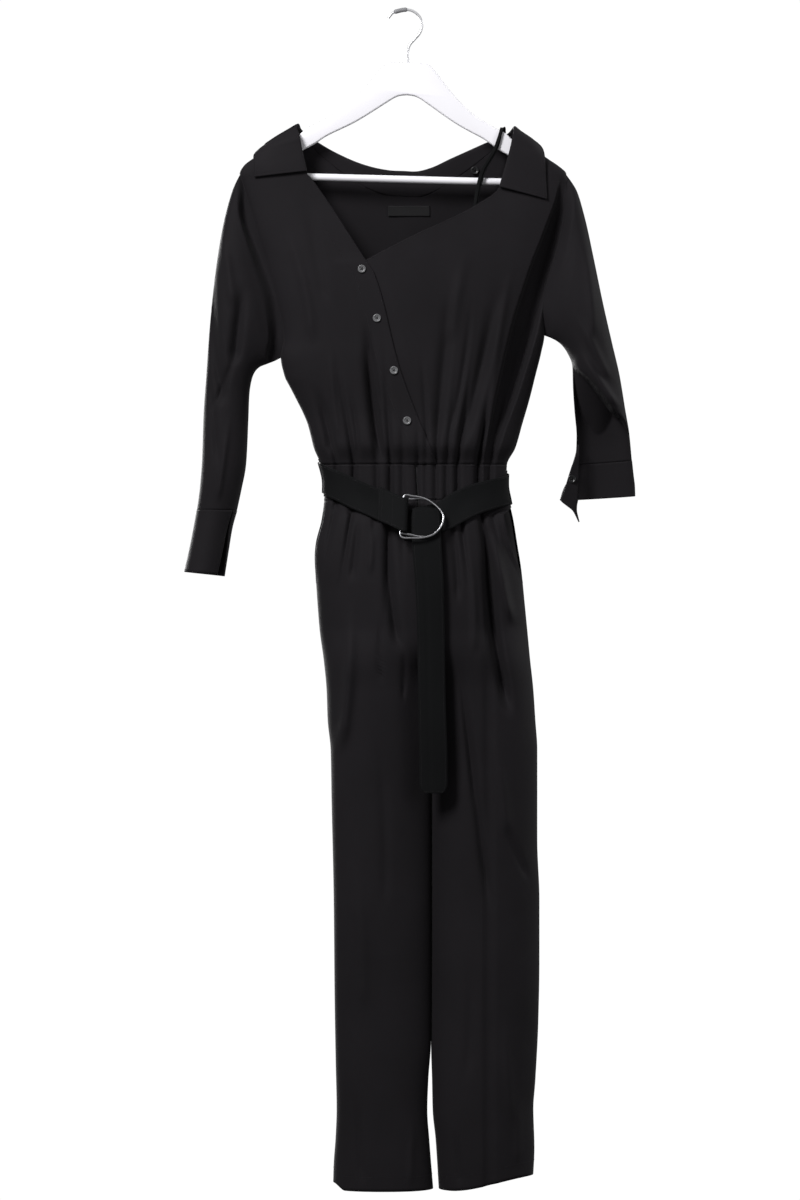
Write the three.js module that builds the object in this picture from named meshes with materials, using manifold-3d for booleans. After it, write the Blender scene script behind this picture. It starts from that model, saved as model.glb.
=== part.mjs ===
// A black jumpsuit hanging on a white wooden hanger. Units are millimetres, +Z is up, the front faces -Y.
// The origin is the point inside the hook where a rail holds it up.
import * as THREE from "three";
import Module from "manifold-3d";
import { mergeVertices } from "three/addons/utils/BufferGeometryUtils.js";

const wasm = await Module();
wasm.setup();

// Named sizes
const CLOTH = 1.2;
const SEAM = 0.6;
const SOFTNESS = 2.3;
const BELT_WIDTH = 40;
const BELT_LIFT = { sides: 2.35, middle: 4.5 };
const BUTTON_RADIUS = 5.6;
const BUTTON_THICKNESS = 2.4;
const WAIST_SEAM = -634.2;
const BAND_BOTTOM = -684;
const FORK = -950;
const FORK_BLEND = 90;
const FRONT = -1;
const BACK = 1;

// Outline of the body seen from the front, shoulder to hem: height, left edge, right edge
const EDGES_LEFT = {
  columns: ["z", "x"],
  rows: [
    [-150, -134], [-166.6, -149.1], [-177.8, -170.1], [-191.1, -192.5], [-203, -209.3], [-215.6, -226],
    [-226.8, -231.7], [-235.2, -228.5], [-291, -211], [-347.2, -193.9], [-411.6, -177.1], [-459.2, -170],
    [-483, -174.3], [-509.6, -169], [-526.4, -160.5], [-543, -152], [-560, -143.5], [-577, -136.5],
    [-594, -132], [-610, -128], [-634.2, -118], [-661, -112.7], [-684, -113.5], [-711, -117], [-745, -125.3],
    [-762, -126.7], [-809, -124], [-865, -119.7], [-907, -114], [-949, -110], [-991, -108.5], [-1033, -104.3],
    [-1103, -103], [-1243, -100], [-1383, -98.7], [-1467, -97.3], [-1537, -95.9], [-1579, -97.3],
    [-1621, -100], [-1655, -101],
  ],
};
const EDGES_RIGHT = {
  columns: ["z", "x"],
  rows: [
    [-150, 134], [-170.1, 151.9], [-185.5, 174.3], [-198.8, 189.7], [-207.2, 200.9], [-215.6, 213.5],
    [-226.8, 224.7], [-249, 226], [-313.6, 217.7], [-372.4, 202.3], [-420, 192], [-452, 194],
    [-476, 189.7], [-509.6, 181.3], [-543, 172.9], [-577, 163], [-610.4, 153.3], [-634.2, 141.5],
    [-661, 140.7], [-684, 144.5], [-711, 150.5], [-745, 156], [-781, 161.7], [-823, 165.9], [-865, 170],
    [-907, 174], [-949, 178.5], [-991, 181.3], [-1033, 184], [-1159, 184], [-1243, 187], [-1327, 187],
    [-1411, 185.5], [-1495, 181.3], [-1537, 178.5], [-1607, 180], [-1655, 178],
  ],
};
// Middle of the body, and the inner edges of the legs below the fork
const MIDDLE = {
  columns: ["z", "x"],
  rows: [[-150, 0], [-300, 4], [-452, 8], [-634, 14], [-684, 17.5], [-823, 25.9], [-950, 34.3], [-1655, 36]],
};
const INNER_RIGHT_LEG = {
  columns: ["z", "x"],
  rows: [
    [-950, 33.6], [-1093, 34], [-1300, 34], [-1495, 31.5], [-1537, 30.1], [-1579, 32.9], [-1655, 39],
  ],
};
const INNER_LEFT_LEG = {
  columns: ["z", "x"],
  rows: [
    [-950, 35.4], [-1093, 37.2], [-1300, 37], [-1495, 37.6], [-1537, 38.5], [-1579, 42.7], [-1655, 47.5],
  ],
};
// How far the cloth stands in front of and behind the hanger's plane
const DEPTHS = {
  columns: ["z", "front", "back"],
  rows: [
    [-150, 13, 14], [-170, 16, 18], [-190, 19, 21], [-230, 23, 25], [-300, 33, 31], [-400, 40, 35],
    [-480, 42, 37], [-560, 43, 39], [-606, 48, 43], [-634, 38, 37], [-684, 41, 40], [-720, 55, 52],
    [-800, 62, 62], [-900, 58, 64], [-950, 52, 58], [-1100, 45, 49], [-1400, 41, 44], [-1655, 43, 45],
  ],
};
// Depth of the valley that the armhole seam lies in
const ARMHOLES = {
  left: { top: -226.8, bottom: -483, depth: 10 },
  right: { top: -226.8, bottom: -452, depth: 15 },
};
// Free edges of the two fronts: the upper one is buttoned over the lower one
const UPPER_EDGE = {
  columns: ["z", "x"],
  rows: [
    [-166.6, -149.1], [-193, -146], [-226.8, -137.9], [-235.2, -130.9], [-350, -55.3], [-368.2, -43.5],
    [-501.2, -7.7], [-634.2, 44.1],
  ],
};
const LOWER_EDGE = {
  columns: ["z", "x"],
  rows: [
    [-170.1, 151.9], [-193, 147.7], [-229.6, 137.9], [-249.2, 129.5], [-275.8, 93.1], [-298.2, 48.3],
    [-310.8, 20.3], [-350, -55.3], [-361.2, -74.9], [-372, -84.7], [-634.2, 10.5],
  ],
};
// Seam where the collar stand joins the back
const BACK_NECK = {
  columns: ["x", "z"],
  rows: [
    [-149.1, -166.6], [-122.5, -196], [-72, -236], [-23, -256], [17.5, -258], [62, -238], [114, -200],
    [151.9, -170.1],
  ],
};
// Gathers that fan out from the waist: place on the seam, lean, reach upward and downward, half width, depth
const GATHERS_FRONT = {
  columns: ["x", "lean", "up", "down", "width", "depth"],
  rows: [
    [-96, -0.2, 60, 70, 5, 3.4], [-72, -0.16, 90, 90, 5, 4], [-40, -0.12, 60, 60, 5, 3.2],
    [-21, -0.05, 90, 110, 5, 4], [-4, 0, 50, 70, 4.5, 3], [17, 0.02, 40, 90, 4.5, 3.4],
    [28, 0.04, 60, 60, 4, 2.6], [42, 0.06, 70, 80, 4.5, 3.4], [57, 0.1, 90, 70, 5, 3.4],
    [72, 0.14, 110, 90, 5, 4], [101, 0.16, 110, 110, 5.5, 4.4], [118, 0.18, 70, 80, 5, 3.2],
  ],
};
const GATHERS_BACK = {
  columns: ["x", "lean", "up", "down", "width", "depth"],
  rows: [
    [-92, -0.18, 70, 80, 5.5, 3.4], [-64, -0.12, 95, 60, 5, 4], [-43, -0.1, 60, 90, 5, 3.2],
    [-18, -0.04, 85, 70, 5.5, 3.6], [3, 0, 60, 100, 5, 3.2], [22, 0.02, 100, 60, 5, 4],
    [47, 0.08, 70, 80, 5, 3], [68, 0.12, 80, 100, 5.5, 4], [92, 0.15, 60, 70, 5, 3.2],
    [116, 0.2, 90, 80, 5, 3.6],
  ],
};
// Long folds: side of the garment, upper end, lower end, sideways bow, half width, height. A trough's height
// is negative.
const FOLDS = {
  columns: ["side", "x1", "z1", "x2", "z2", "bow", "width", "height"],
  rows: [
    [FRONT, 219, -240, 118, -634, -12, 12, -13],
    [FRONT, -53, -430, -30, -640, -6, 8, -6],
    [FRONT, -128, -520, -104, -625, 4, 8, -4],
    [FRONT, 64, -380, 42, -620, 0, 10, -4],
    [FRONT, 128, -380, 74, -620, 4, 10, -5],
    [FRONT, -24, -700, -8, -900, -6, 8, -6],
    [FRONT, 110, -700, 146, -990, -8, 9, -11],
    [FRONT, 126, -720, 150, -860, -4, 8, 5],
    [FRONT, -78, -820, -92, -1040, 6, 10, 5],
    [FRONT, 74, -880, 116, -1260, 0, 7, -4],
    [BACK, -70, -420, -40, -630, 0, 12, -6],
    [BACK, 60, -400, 76, -630, 0, 12, -6],
    [BACK, -60, -700, -70, -980, 0, 12, -7],
    [BACK, 96, -700, 112, -960, 0, 12, -7],
    [FRONT, 261, -500, 312, -576, 0, 12, -12],
    [FRONT, -272, -330, -252, -560, -6, 10, -5],
    [FRONT, -226, -380, -240, -500, 0, 9, -6],
    [BACK, -262, -330, -250, -560, 0, 12, -6],
    [BACK, 262, -330, 280, -540, 0, 12, -6],
  ],
};
// Sleeves: outer and inner edge of each section seen from the front, and its half depth
const SLEEVE_COLUMNS = ["outerX", "outerZ", "innerX", "innerZ", "depth"];
const SLEEVES = {
  right: {
    columns: SLEEVE_COLUMNS,
    rows: [
      [-231.7, -226.8, -174.3, -483, 0], [-241, -248, -182, -487.5, 25], [-253, -290, -193, -492, 32],
      [-265, -360, -205, -497, 35], [-273.5, -440, -214, -509, 35], [-278.5, -510, -219, -535, 34],
      [-282, -560, -220.5, -572, 34], [-284.5, -630, -223.5, -632, 34], [-288, -672, -230, -668, 33],
      [-291.5, -697, -236.5, -698, 32],
    ],
  },
  left: {
    columns: SLEEVE_COLUMNS,
    rows: [
      [224.7, -226.8, 194, -452, 0], [239, -250, 206, -457, 25], [251, -290, 217, -464, 31],
      [264, -350, 227, -477, 34], [276, -408, 234, -496, 35], [289, -465, 235, -526, 35],
      [299, -508, 237, -557, 35], [307, -556, 240, -592, 35], [313, -592, 239.5, -612, 35],
      [316.4, -628, 234, -634, 34],
    ],
  },
};
// Cuffs: as the sleeves, with the middle of the slit in degrees and half its opening
const CUFF_COLUMNS = ["outerX", "outerZ", "innerX", "innerZ", "depth", "slit", "open"];
const CUFFS = {
  right: {
    columns: CUFF_COLUMNS,
    rows: [
      [-291.6, -697.7, -236.6, -698.7, 32.1, 145, 2], [-296, -722, -243, -722, 33, 145, 4],
      [-301.5, -750, -248, -752, 34, 147, 9], [-309, -784, -254, -790, 36, 148, 15],
    ],
  },
  left: {
    columns: CUFF_COLUMNS,
    rows: [
      [316.5, -628.8, 234, -634.8, 34.1, 163, 2], [318.6, -648, 230, -653, 35, 163, 4],
      [320.5, -664, 222, -668, 36, 163, 9], [321, -678, 217, -684, 37, 163, 14],
    ],
  },
};

// Reading a table: smooth between its rows, without overshoot
function read(table, value, name = table.columns[1]) {
  const key = 0;
  const column = table.columns.indexOf(name);
  const rows = table.rows;
  const last = rows.length - 1;
  const rising = rows[last][key] > rows[0][key];
  const at = (i) => rows[Math.min(Math.max(i, 0), last)];
  let i = 0;
  while (i < last - 1 && (rising ? value > rows[i + 1][key] : value < rows[i + 1][key])) i++;
  const slope = (a, b) => (a === b ? 0 : (b[column] - a[column]) / (b[key] - a[key]));
  const tangent = (j) => {
    const before = slope(at(j - 1), at(j));
    const after = slope(at(j), at(j + 1));
    if (j === 0) return after;
    if (j === last) return before;
    return before * after <= 0 ? 0 : (2 * before * after) / (before + after);
  };
  const span = at(i + 1)[key] - at(i)[key];
  const t = Math.min(Math.max((value - at(i)[key]) / span, 0), 1);
  const h1 = t * t * (3 - 2 * t);
  const h2 = t * t * t - 2 * t * t + t;
  const h3 = t * t * t - t * t;
  return at(i)[column] * (1 - h1) + at(i + 1)[column] * h1 + span * (h2 * tangent(i) + h3 * tangent(i + 1));
}

const smooth = (t) => {
  const c = Math.min(Math.max(t, 0), 1);
  return c * c * (3 - 2 * c);
};
const mix = (a, b, t) => a + (b - a) * t;
const named = (table) =>
  table.rows.map((row) => Object.fromEntries(table.columns.map((name, i) => [name, row[i]])));
const spread = (count) => Array.from({ length: count + 1 }, (_, i) => i / count);

// A fold rises over the first share of its length and dies away over the last
const FOLD_RISE = 0.25;
const FOLD_END = 0.3;
// The relief fades out where the section turns towards a side seam
const RELIEF_FADE = 0.5;
const folds = named(FOLDS);
const gathers = { [FRONT]: named(GATHERS_FRONT), [BACK]: named(GATHERS_BACK) };

// How far the cloth stands out at one place because of its gathers and folds
function relief(side, x, z) {
  let out = 0;
  for (const g of gathers[side]) {
    const above = Math.max(z - WAIST_SEAM, 0) / g.up;
    const below = Math.max(BAND_BOTTOM - z, 0) / g.down;
    const path = g.x + g.lean * Math.max(BAND_BOTTOM - z, 0) + g.lean * Math.max(z - WAIST_SEAM, 0);
    const strength = Math.exp(-above * above - below * below);
    out -= g.depth * strength * Math.exp(-(((x - path) / g.width) ** 2));
  }
  for (const f of folds) {
    if (f.side !== side) continue;
    const t = (f.z1 - z) / (f.z1 - f.z2);
    if (t <= 0 || t >= 1) continue;
    const path = mix(f.x1, f.x2, t) + f.bow * 4 * t * (1 - t);
    const strength = smooth(t / FOLD_RISE) * smooth((1 - t) / FOLD_END);
    out += f.height * strength * Math.exp(-(((x - path) / f.width) ** 2));
  }
  return out;
}

// Armhole seam: how far it stands from the hanger's plane at a height
const ARMHOLE_ROUNDNESS = 0.8;
function armholeDepth(half, z) {
  const arm = ARMHOLES[half];
  const t = (arm.top - z) / (arm.top - arm.bottom);
  return t <= 0 || t >= 1 ? 0 : arm.depth * Math.sin(Math.PI * t) ** ARMHOLE_ROUNDNESS;
}

// Where the section of the body begins at a side: 0 at a side seam, more at an armhole
function startAngle(half, side, z) {
  const share = armholeDepth(half, z) / read(DEPTHS, z, side === FRONT ? "front" : "back");
  return Math.asin(share ** (SOFTNESS / 2));
}

const across = (angle) => {
  const c = Math.cos(angle);
  return -Math.sign(c) * Math.abs(c) ** (2 / SOFTNESS);
};
const outward = (angle) => Math.abs(Math.sin(angle)) ** (2 / SOFTNESS);

// One point of a half of the body. turn is 0 at the side seam or armhole and 1 at the middle line or inseam.
function halfPoint(half, side, turn, z, creased = true) {
  const right = half === "left";
  const edge = read(right ? EDGES_RIGHT : EDGES_LEFT, z);
  const parted = smooth((FORK + FORK_BLEND - z) / FORK_BLEND);
  const inner = z < FORK ? read(right ? INNER_LEFT_LEG : INNER_RIGHT_LEG, z) : read(MIDDLE, z);
  const start = startAngle(half, side, z);
  const end = Math.PI / 2 + parted * (Math.PI / 2);
  const angle = mix(start, end, turn);
  const share = (across(angle) - across(start)) / (across(end) - across(start));
  const x = mix(edge, inner, share);
  const depth = read(DEPTHS, z, side === FRONT ? "front" : "back");
  const fade = smooth(Math.sin(angle) / RELIEF_FADE);
  const out = depth * outward(angle) + (creased ? fade * relief(side, x, z) : 0);
  return new THREE.Vector3(x, side * (out + SEAM), z);
}

// The turn at which a half of the body has a given x
const HALVINGS = 30;
function turnAt(half, side, x, z) {
  let low = 0;
  let high = 1;
  const rising = half === "right";
  for (let i = 0; i < HALVINGS; i++) {
    const middle = (low + high) / 2;
    if (rising === halfPoint(half, side, middle, z, false).x < x) low = middle;
    else high = middle;
  }
  return (low + high) / 2;
}

// A point of the body above the fork, from its x and height, moved out from the cloth by lift
const NORMAL_TURN = 0.02;
const NORMAL_FALL = 2;
function bodyPoint(side, x, z, lift = 0, creased = true) {
  const half = x < read(MIDDLE, z) ? "right" : "left";
  const turn = turnAt(half, side, x, z);
  const point = halfPoint(half, side, turn, z, creased);
  if (lift === 0) return point;
  const step = turn > 0.5 ? -NORMAL_TURN : NORMAL_TURN;
  const along = halfPoint(half, side, turn + step, z, creased).sub(point).multiplyScalar(Math.sign(step));
  const down = halfPoint(half, side, turn, z - NORMAL_FALL, creased).sub(point);
  const normal = along.cross(down).normalize();
  if (half === "right") normal.negate();
  if (side === BACK) normal.negate();
  return point.addScaledVector(normal, lift);
}

// Stitches two rows of numbered points, each given with its place from 0 to 1
function stitch(triangles, first, second) {
  let i = 0;
  let j = 0;
  while (i < first.length - 1 || j < second.length - 1) {
    const nextFirst = i < first.length - 1 ? first[i + 1].place : Infinity;
    const nextSecond = j < second.length - 1 ? second[j + 1].place : Infinity;
    if (nextFirst <= nextSecond) {
      triangles.push([first[i].index, second[j].index, first[i + 1].index]);
      i++;
    } else {
      triangles.push([first[i].index, second[j].index, second[j + 1].index]);
      j++;
    }
  }
}

// A wall of cloth from rows of points on its middle surface. Rows may differ in length, and closed rows
// are rings.
function wall(rows, { thickness = CLOTH, closed = false } = {}) {
  const points = [];
  const numbered = rows.map((row) => {
    const entries = row.map((point, i) => {
      points.push(point);
      return { index: points.length - 1, place: i / (closed ? row.length : row.length - 1) };
    });
    if (closed) entries.push({ index: entries[0].index, place: 1 });
    return entries;
  });
  const faces = [];
  for (let r = 0; r < numbered.length - 1; r++) stitch(faces, numbered[r], numbered[r + 1]);
  return thicken(points, faces, thickness);
}

function thicken(points, faces, thickness) {
  const normals = points.map(() => new THREE.Vector3());
  for (const [a, b, c] of faces) {
    const normal = points[b].clone().sub(points[a]).cross(points[c].clone().sub(points[a]));
    for (const k of [a, b, c]) normals[k].add(normal);
  }
  const count = points.length;
  const positions = [];
  for (const sign of [1, -1])
    points.forEach((point, i) => {
      const moved = point.clone().addScaledVector(normals[i].clone().normalize(), (sign * thickness) / 2);
      positions.push(moved.x, moved.y, moved.z);
    });
  const used = new Set(faces.flatMap(([a, b, c]) => [a + "_" + b, b + "_" + c, c + "_" + a]));
  const index = [];
  for (const [a, b, c] of faces) {
    index.push(a, b, c, a + count, c + count, b + count);
    for (const [p, q] of [[a, b], [b, c], [c, a]])
      if (!used.has(q + "_" + p))
        index.push(q, p, p + count, q, p + count, q + count);
  }
  return geometryOf(positions, index);
}

function geometryOf(positions, index) {
  const geometry = new THREE.BufferGeometry();
  geometry.setAttribute("position", new THREE.Float32BufferAttribute(positions, 3));
  geometry.setIndex(index);
  let volume = 0;
  const p = (k) => new THREE.Vector3().fromArray(positions, 3 * k);
  for (let i = 0; i < index.length; i += 3)
    volume += p(index[i]).dot(p(index[i + 1]).cross(p(index[i + 2])));
  if (volume < 0)
    for (let i = 0; i < index.length; i += 3)
      [index[i + 1], index[i + 2]] = [index[i + 2], index[i + 1]];
  geometry.setIndex(index);
  geometry.computeVertexNormals();
  return geometry;
}

// A round wire along points; up is a direction that the wire never runs along
function wire(points, radius, up, { closed = false, sides = 8 } = {}) {
  const positions = [];
  const index = [];
  const count = points.length;
  points.forEach((point, i) => {
    const before = points[closed ? (i + count - 1) % count : Math.max(i - 1, 0)];
    const after = points[closed ? (i + 1) % count : Math.min(i + 1, count - 1)];
    const tangent = after.clone().sub(before).normalize();
    const sideways = up.clone().cross(tangent).normalize();
    const over = tangent.clone().cross(sideways);
    for (let k = 0; k < sides; k++) {
      const angle = (2 * Math.PI * k) / sides;
      const p = point
        .clone()
        .addScaledVector(sideways, radius * Math.cos(angle))
        .addScaledVector(over, radius * Math.sin(angle));
      positions.push(p.x, p.y, p.z);
    }
  });
  const rings = closed ? count : count - 1;
  for (let i = 0; i < rings; i++)
    for (let k = 0; k < sides; k++) {
      const a = i * sides + k;
      const b = i * sides + ((k + 1) % sides);
      const c = ((i + 1) % count) * sides + k;
      const d = ((i + 1) % count) * sides + ((k + 1) % sides);
      index.push(a, b, c, b, d, c);
    }
  if (!closed)
    for (let k = 1; k < sides - 1; k++) {
      const end = (count - 1) * sides;
      index.push(0, k + 1, k, end, end + k, end + k + 1);
    }
  return geometryOf(positions, index);
}

const MERGE_DISTANCE = 1e-3;
function solid(geometry) {
  const plain = geometry.index ? geometry.toNonIndexed() : geometry.clone();
  plain.deleteAttribute("normal");
  plain.deleteAttribute("uv");
  const merged = mergeVertices(plain, MERGE_DISTANCE);
  return new wasm.Manifold(
    new wasm.Mesh({
      numProp: 3,
      vertProperties: merged.attributes.position.array,
      triVerts: new Uint32Array(merged.index.array),
    }),
  );
}

function fromSolid(made) {
  const mesh = made.getMesh();
  const positions = [];
  for (let i = 0; i < mesh.numVert; i++) {
    const start = i * mesh.numProp;
    positions.push(...mesh.vertProperties.slice(start, start + 3));
  }
  return geometryOf(positions, [...mesh.triVerts]);
}

const COLORS = {
  cloth: 0x262528,
  belt: 0x1c1e20,
  button: 0x4a4a4c,
  metal: 0x8d9094,
  wood: 0xf1f0f4,
  label: 0x141416,
};
const ROUGHNESS = { cloth: 0.8, button: 0.4, wood: 0.5 };
const group = new THREE.Group();
function add(name, geometry, color) {
  const material = new THREE.MeshStandardMaterial({ color, roughness: ROUGHNESS.cloth });
  const mesh = new THREE.Mesh(geometry, material);
  mesh.name = name;
  group.add(mesh);
}

// Heights of the rows of points, closer near the waist where the gathers are
const BODICE_ROWS = [
  -168.5, -180, -193, -208, -226.8, -249, -270, -290, -310, -330, -350, -372, -410, -452, -483, -520, -555,
  -582, -610, -633.9,
];
const BODICE_BACK_ROWS = [-340, -390, -440, -483, -525, -560, -585, -610, -633.9];
const LEG_ROWS = [
  -684.4, -697, -712, -732, -762, -798, -835, -875, -910, -935, -948, -970, -1020, -1110, -1240, -1400, -1537,
  -1600, -1646,
];
// Spacing of the points in a row: below each height, down to the next one
const SPACING = {
  columns: ["z", "step"],
  rows: [[0, 18], [-500, 11], [-560, 7], [-740, 11], [-800, 18]],
};
const spacings = named(SPACING);
const fineness = (z) => spacings.findLast((row) => z <= row.z).step;

// Fronts of the bodice
// Where they overlap, the upper one is lifted and the lower one is pressed in
const OVERLAP_LIFT = 2.1;
const OVERLAP = { upperTop: -350, lowerTop: -300, upperInset: 52, lowerReach: 18, blend: 14 };
function upperShift(x, z) {
  if (z > OVERLAP.upperTop) return 0;
  return OVERLAP_LIFT * smooth((x - read(UPPER_EDGE, z) + OVERLAP.upperInset) / OVERLAP.blend);
}
function lowerShift(x, z) {
  if (z > OVERLAP.lowerTop) return 0;
  return OVERLAP_LIFT * smooth((read(UPPER_EDGE, z) + OVERLAP.lowerReach - x) / OVERLAP.blend);
}
const places = (from, to, z) => {
  const count = Math.max(2, Math.round(Math.abs(to - from) / fineness(z)));
  return spread(count).map((t) => mix(from, to, t));
};

// A row of a front, evenly spaced along the cloth, from a side edge to a free edge
const NARROW_ROW = 40;
function frontRow(half, z, freeX, shift) {
  const middle = read(MIDDLE, z);
  const edge = read(half === "right" ? EDGES_LEFT : EDGES_RIGHT, z);
  const own = half === "right" ? Math.min(freeX, middle) : Math.max(freeX, middle);
  const ownTurn = turnAt(half, FRONT, own, z);
  const width = Math.abs(own - edge);
  const count = Math.max(2, Math.round(width / fineness(z)) + (width > NARROW_ROW ? 2 : 0));
  const row = spread(count).map((t) => halfPoint(half, FRONT, ownTurn * t, z));
  if (own !== freeX) {
    const steps = places(own, freeX, z).slice(1);
    for (const x of steps) row.push(bodyPoint(FRONT, x, z));
  }
  return row.map((point) => new THREE.Vector3(point.x, point.y + shift(point.x, z), z));
}
const LOWER_TOP = -171;
const lifted = (x, z) => -upperShift(x, z);
const upperRows = BODICE_ROWS.map((z) => frontRow("right", z, read(UPPER_EDGE, z), lifted));
const lowerHeights = BODICE_ROWS.filter((z) => z < LOWER_TOP);
const lowerRows = lowerHeights.map((z) => frontRow("left", z, read(LOWER_EDGE, z), lowerShift));
add("front_right", wall(upperRows), COLORS.cloth);
add("front_left", wall(lowerRows), COLORS.cloth);

// Back of the bodice: its top edge runs along the shoulders and the neck
const BACK_JOIN = -300;
const BACK_COLUMNS = 22;
const BACK_UPPER_ROWS = [0, 0.12, 0.35, 0.65, 1];
const SHOULDER_SHARE = 0.2;
const SHOULDER = {
  right: { neckX: -149.1, neckZ: -166.6, endZ: -226.8 },
  left: { neckX: 151.9, neckZ: -170.1, endZ: -226.8 },
};
const shoulderEdge = (table, shoulder, t) => {
  const z = mix(shoulder.endZ, shoulder.neckZ, t);
  return { x: read(table, z), z };
};
function backTop(u) {
  if (u < SHOULDER_SHARE) return shoulderEdge(EDGES_LEFT, SHOULDER.right, u / SHOULDER_SHARE);
  if (u > 1 - SHOULDER_SHARE) return shoulderEdge(EDGES_RIGHT, SHOULDER.left, (1 - u) / SHOULDER_SHARE);
  const t = (u - SHOULDER_SHARE) / (1 - 2 * SHOULDER_SHARE);
  const x = mix(SHOULDER.right.neckX, SHOULDER.left.neckX, t);
  return { x, z: read(BACK_NECK, x, "z") };
}
const backRows = BACK_UPPER_ROWS.map((v) =>
  spread(BACK_COLUMNS).map((u) => {
    const top = backTop(u);
    const bottomX = mix(read(EDGES_LEFT, BACK_JOIN), read(EDGES_RIGHT, BACK_JOIN), u);
    const z = mix(top.z, BACK_JOIN, v);
    const x = Math.min(Math.max(mix(top.x, bottomX, v), read(EDGES_LEFT, z)), read(EDGES_RIGHT, z));
    return bodyPoint(BACK, x, z);
  }),
);
for (const z of BODICE_BACK_ROWS) {
  const count = Math.round((read(EDGES_RIGHT, z) - read(EDGES_LEFT, z)) / fineness(z)) + 4;
  const half = Math.ceil(count / 2);
  const left = spread(half).map((t) => halfPoint("right", BACK, t, z));
  const right = spread(half).map((t) => halfPoint("left", BACK, 1 - t, z));
  backRows.push([...left, ...right.slice(1)]);
}
add("back", wall(backRows), COLORS.cloth);

// Waistband, a ring round the body between bodice and trousers
function bodyRing(z, perHalf) {
  const ring = [];
  const quarter = (half, side, forward) =>
    spread(perHalf)
      .slice(0, -1)
      .map((t) => halfPoint(half, side, forward ? t : 1 - t, z));
  ring.push(...quarter("right", FRONT, true), ...quarter("left", FRONT, false));
  ring.push(...quarter("left", BACK, true), ...quarter("right", BACK, false));
  return ring.filter((point, i) => i !== perHalf * 2 && i !== 0);
}
const BAND_ROWS = [-634.6, -650, -667, -683.8];
const BAND_STEPS = 17;
const bandRings = BAND_ROWS.map((z) => bodyRing(z, BAND_STEPS));
add("waistband", wall(bandRings, { closed: true }), COLORS.cloth);

// Legs: four panels from waistband to hem
// Each hem rises towards its side seam, over a span of x
const HEM_RISE = {
  right: { rise: 9, from: -84, over: -16 },
  left: { rise: 20, from: 60, over: 120 },
};
const HEM_BLEND = { top: -1500, height: 146 };
const POCKET = { top: -692, bottom: -800, corner: 0.12, sink: 5, lip: 0.15 };
const POCKET_MOUTH = { left: 0.3, right: 0.12 };
function mouth(half, z) {
  const t = (POCKET.top - z) / (POCKET.top - POCKET.bottom);
  if (t <= 0 || t >= 1) return 0;
  return POCKET_MOUTH[half] * smooth(t / POCKET.corner) * (1 - t * t * t);
}
// The gap at the middle seam widens down to the fork
const MIDDLE_GAP = { top: 0.5, fork: 1.9, blend: 60, below: 30, from: 0.85, share: 0.15 };
function legRow(half, side, z) {
  const width = Math.abs(read(MIDDLE, z) - read(half === "right" ? EDGES_LEFT : EDGES_RIGHT, z));
  const count = Math.round(width / fineness(z)) + 2;
  const start = side === FRONT ? mouth(half, z) : 0;
  const hem = smooth((HEM_BLEND.top - z) / HEM_BLEND.height);
  const { rise, from, over } = HEM_RISE[half];
  return spread(count).map((t) => {
    const point = halfPoint(half, side, mix(start, 1, t), z);
    const parted = smooth((FORK + FORK_BLEND - z) / MIDDLE_GAP.blend);
    const gap = mix(MIDDLE_GAP.top, MIDDLE_GAP.fork, parted) * SEAM;
    const near = smooth((t - MIDDLE_GAP.from) / MIDDLE_GAP.share);
    if (z > FORK - MIDDLE_GAP.below) point.x += (half === "right" ? -gap : gap) * near;
    point.z += rise * smooth((point.x - from) / over) * hem;
    if (start > 0) point.y -= POCKET.sink * (1 - smooth(t / POCKET.lip)) * (start / POCKET_MOUTH.left);
    return point;
  });
}
for (const half of ["right", "left"])
  for (const side of [FRONT, BACK]) {
    const name = (side === FRONT ? "leg_front_" : "leg_back_") + half;
    add(name, wall(LEG_ROWS.map((z) => legRow(half, side, z))), COLORS.cloth);
  }

// Pocket facings, just behind the side mouths
const FACING = { rows: 8, columns: 4, top: -4, bottom: -6, from: 0.16, beyond: 0.2 };
const FACING_SHIFT = { right: [2, 3.3, 0], left: [-2.4, 8.6, 0] };
for (const half of ["right", "left"]) {
  const shift = new THREE.Vector3(...FACING_SHIFT[half]);
  const rows = spread(FACING.rows).map((v) => {
    const z = mix(POCKET.top + FACING.top, POCKET.bottom + FACING.bottom, v);
    return spread(FACING.columns).map((u) => {
      const turn = mix(FACING.from, POCKET_MOUTH[half] + FACING.beyond, u);
      return halfPoint(half, FRONT, turn, z).add(shift);
    });
  });
  add("pocket_" + half, wall(rows), COLORS.cloth);
}

// Sleeves, from the armhole seam to the cuff seam
const SLEEVE_SIDES = 22;
const CUFF_THICKNESS = 1.8;
const ARM_GAP = { right: 2.7, left: 3.7 };
function sleeveRing(half, section, angles) {
  const table = half === "right" ? EDGES_LEFT : EDGES_RIGHT;
  const away = half === "right" ? -1 : 1;
  return angles.map((angle) => {
    const v = (1 - Math.cos(angle)) / 2;
    const side = Math.sin(angle) >= 0 ? FRONT : BACK;
    if (section.depth === 0) {
      const arm = ARMHOLES[half];
      const z = mix(arm.top, arm.bottom, v);
      const depth = armholeDepth(half, z) + SEAM;
      const round = Math.abs(Math.sin(angle)) > 1e-6 ? depth : 0;
      return new THREE.Vector3(read(table, z) + away * ARM_GAP[half], side * round, z - 1);
    }
    const x = mix(section.outerX, section.innerX, v);
    const z = mix(section.outerZ, section.innerZ, v);
    const fade = smooth(Math.abs(Math.sin(angle)) / RELIEF_FADE);
    const out = section.depth * outward(angle) + fade * relief(side, x, z);
    return new THREE.Vector3(x, side * out, z);
  });
}
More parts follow.
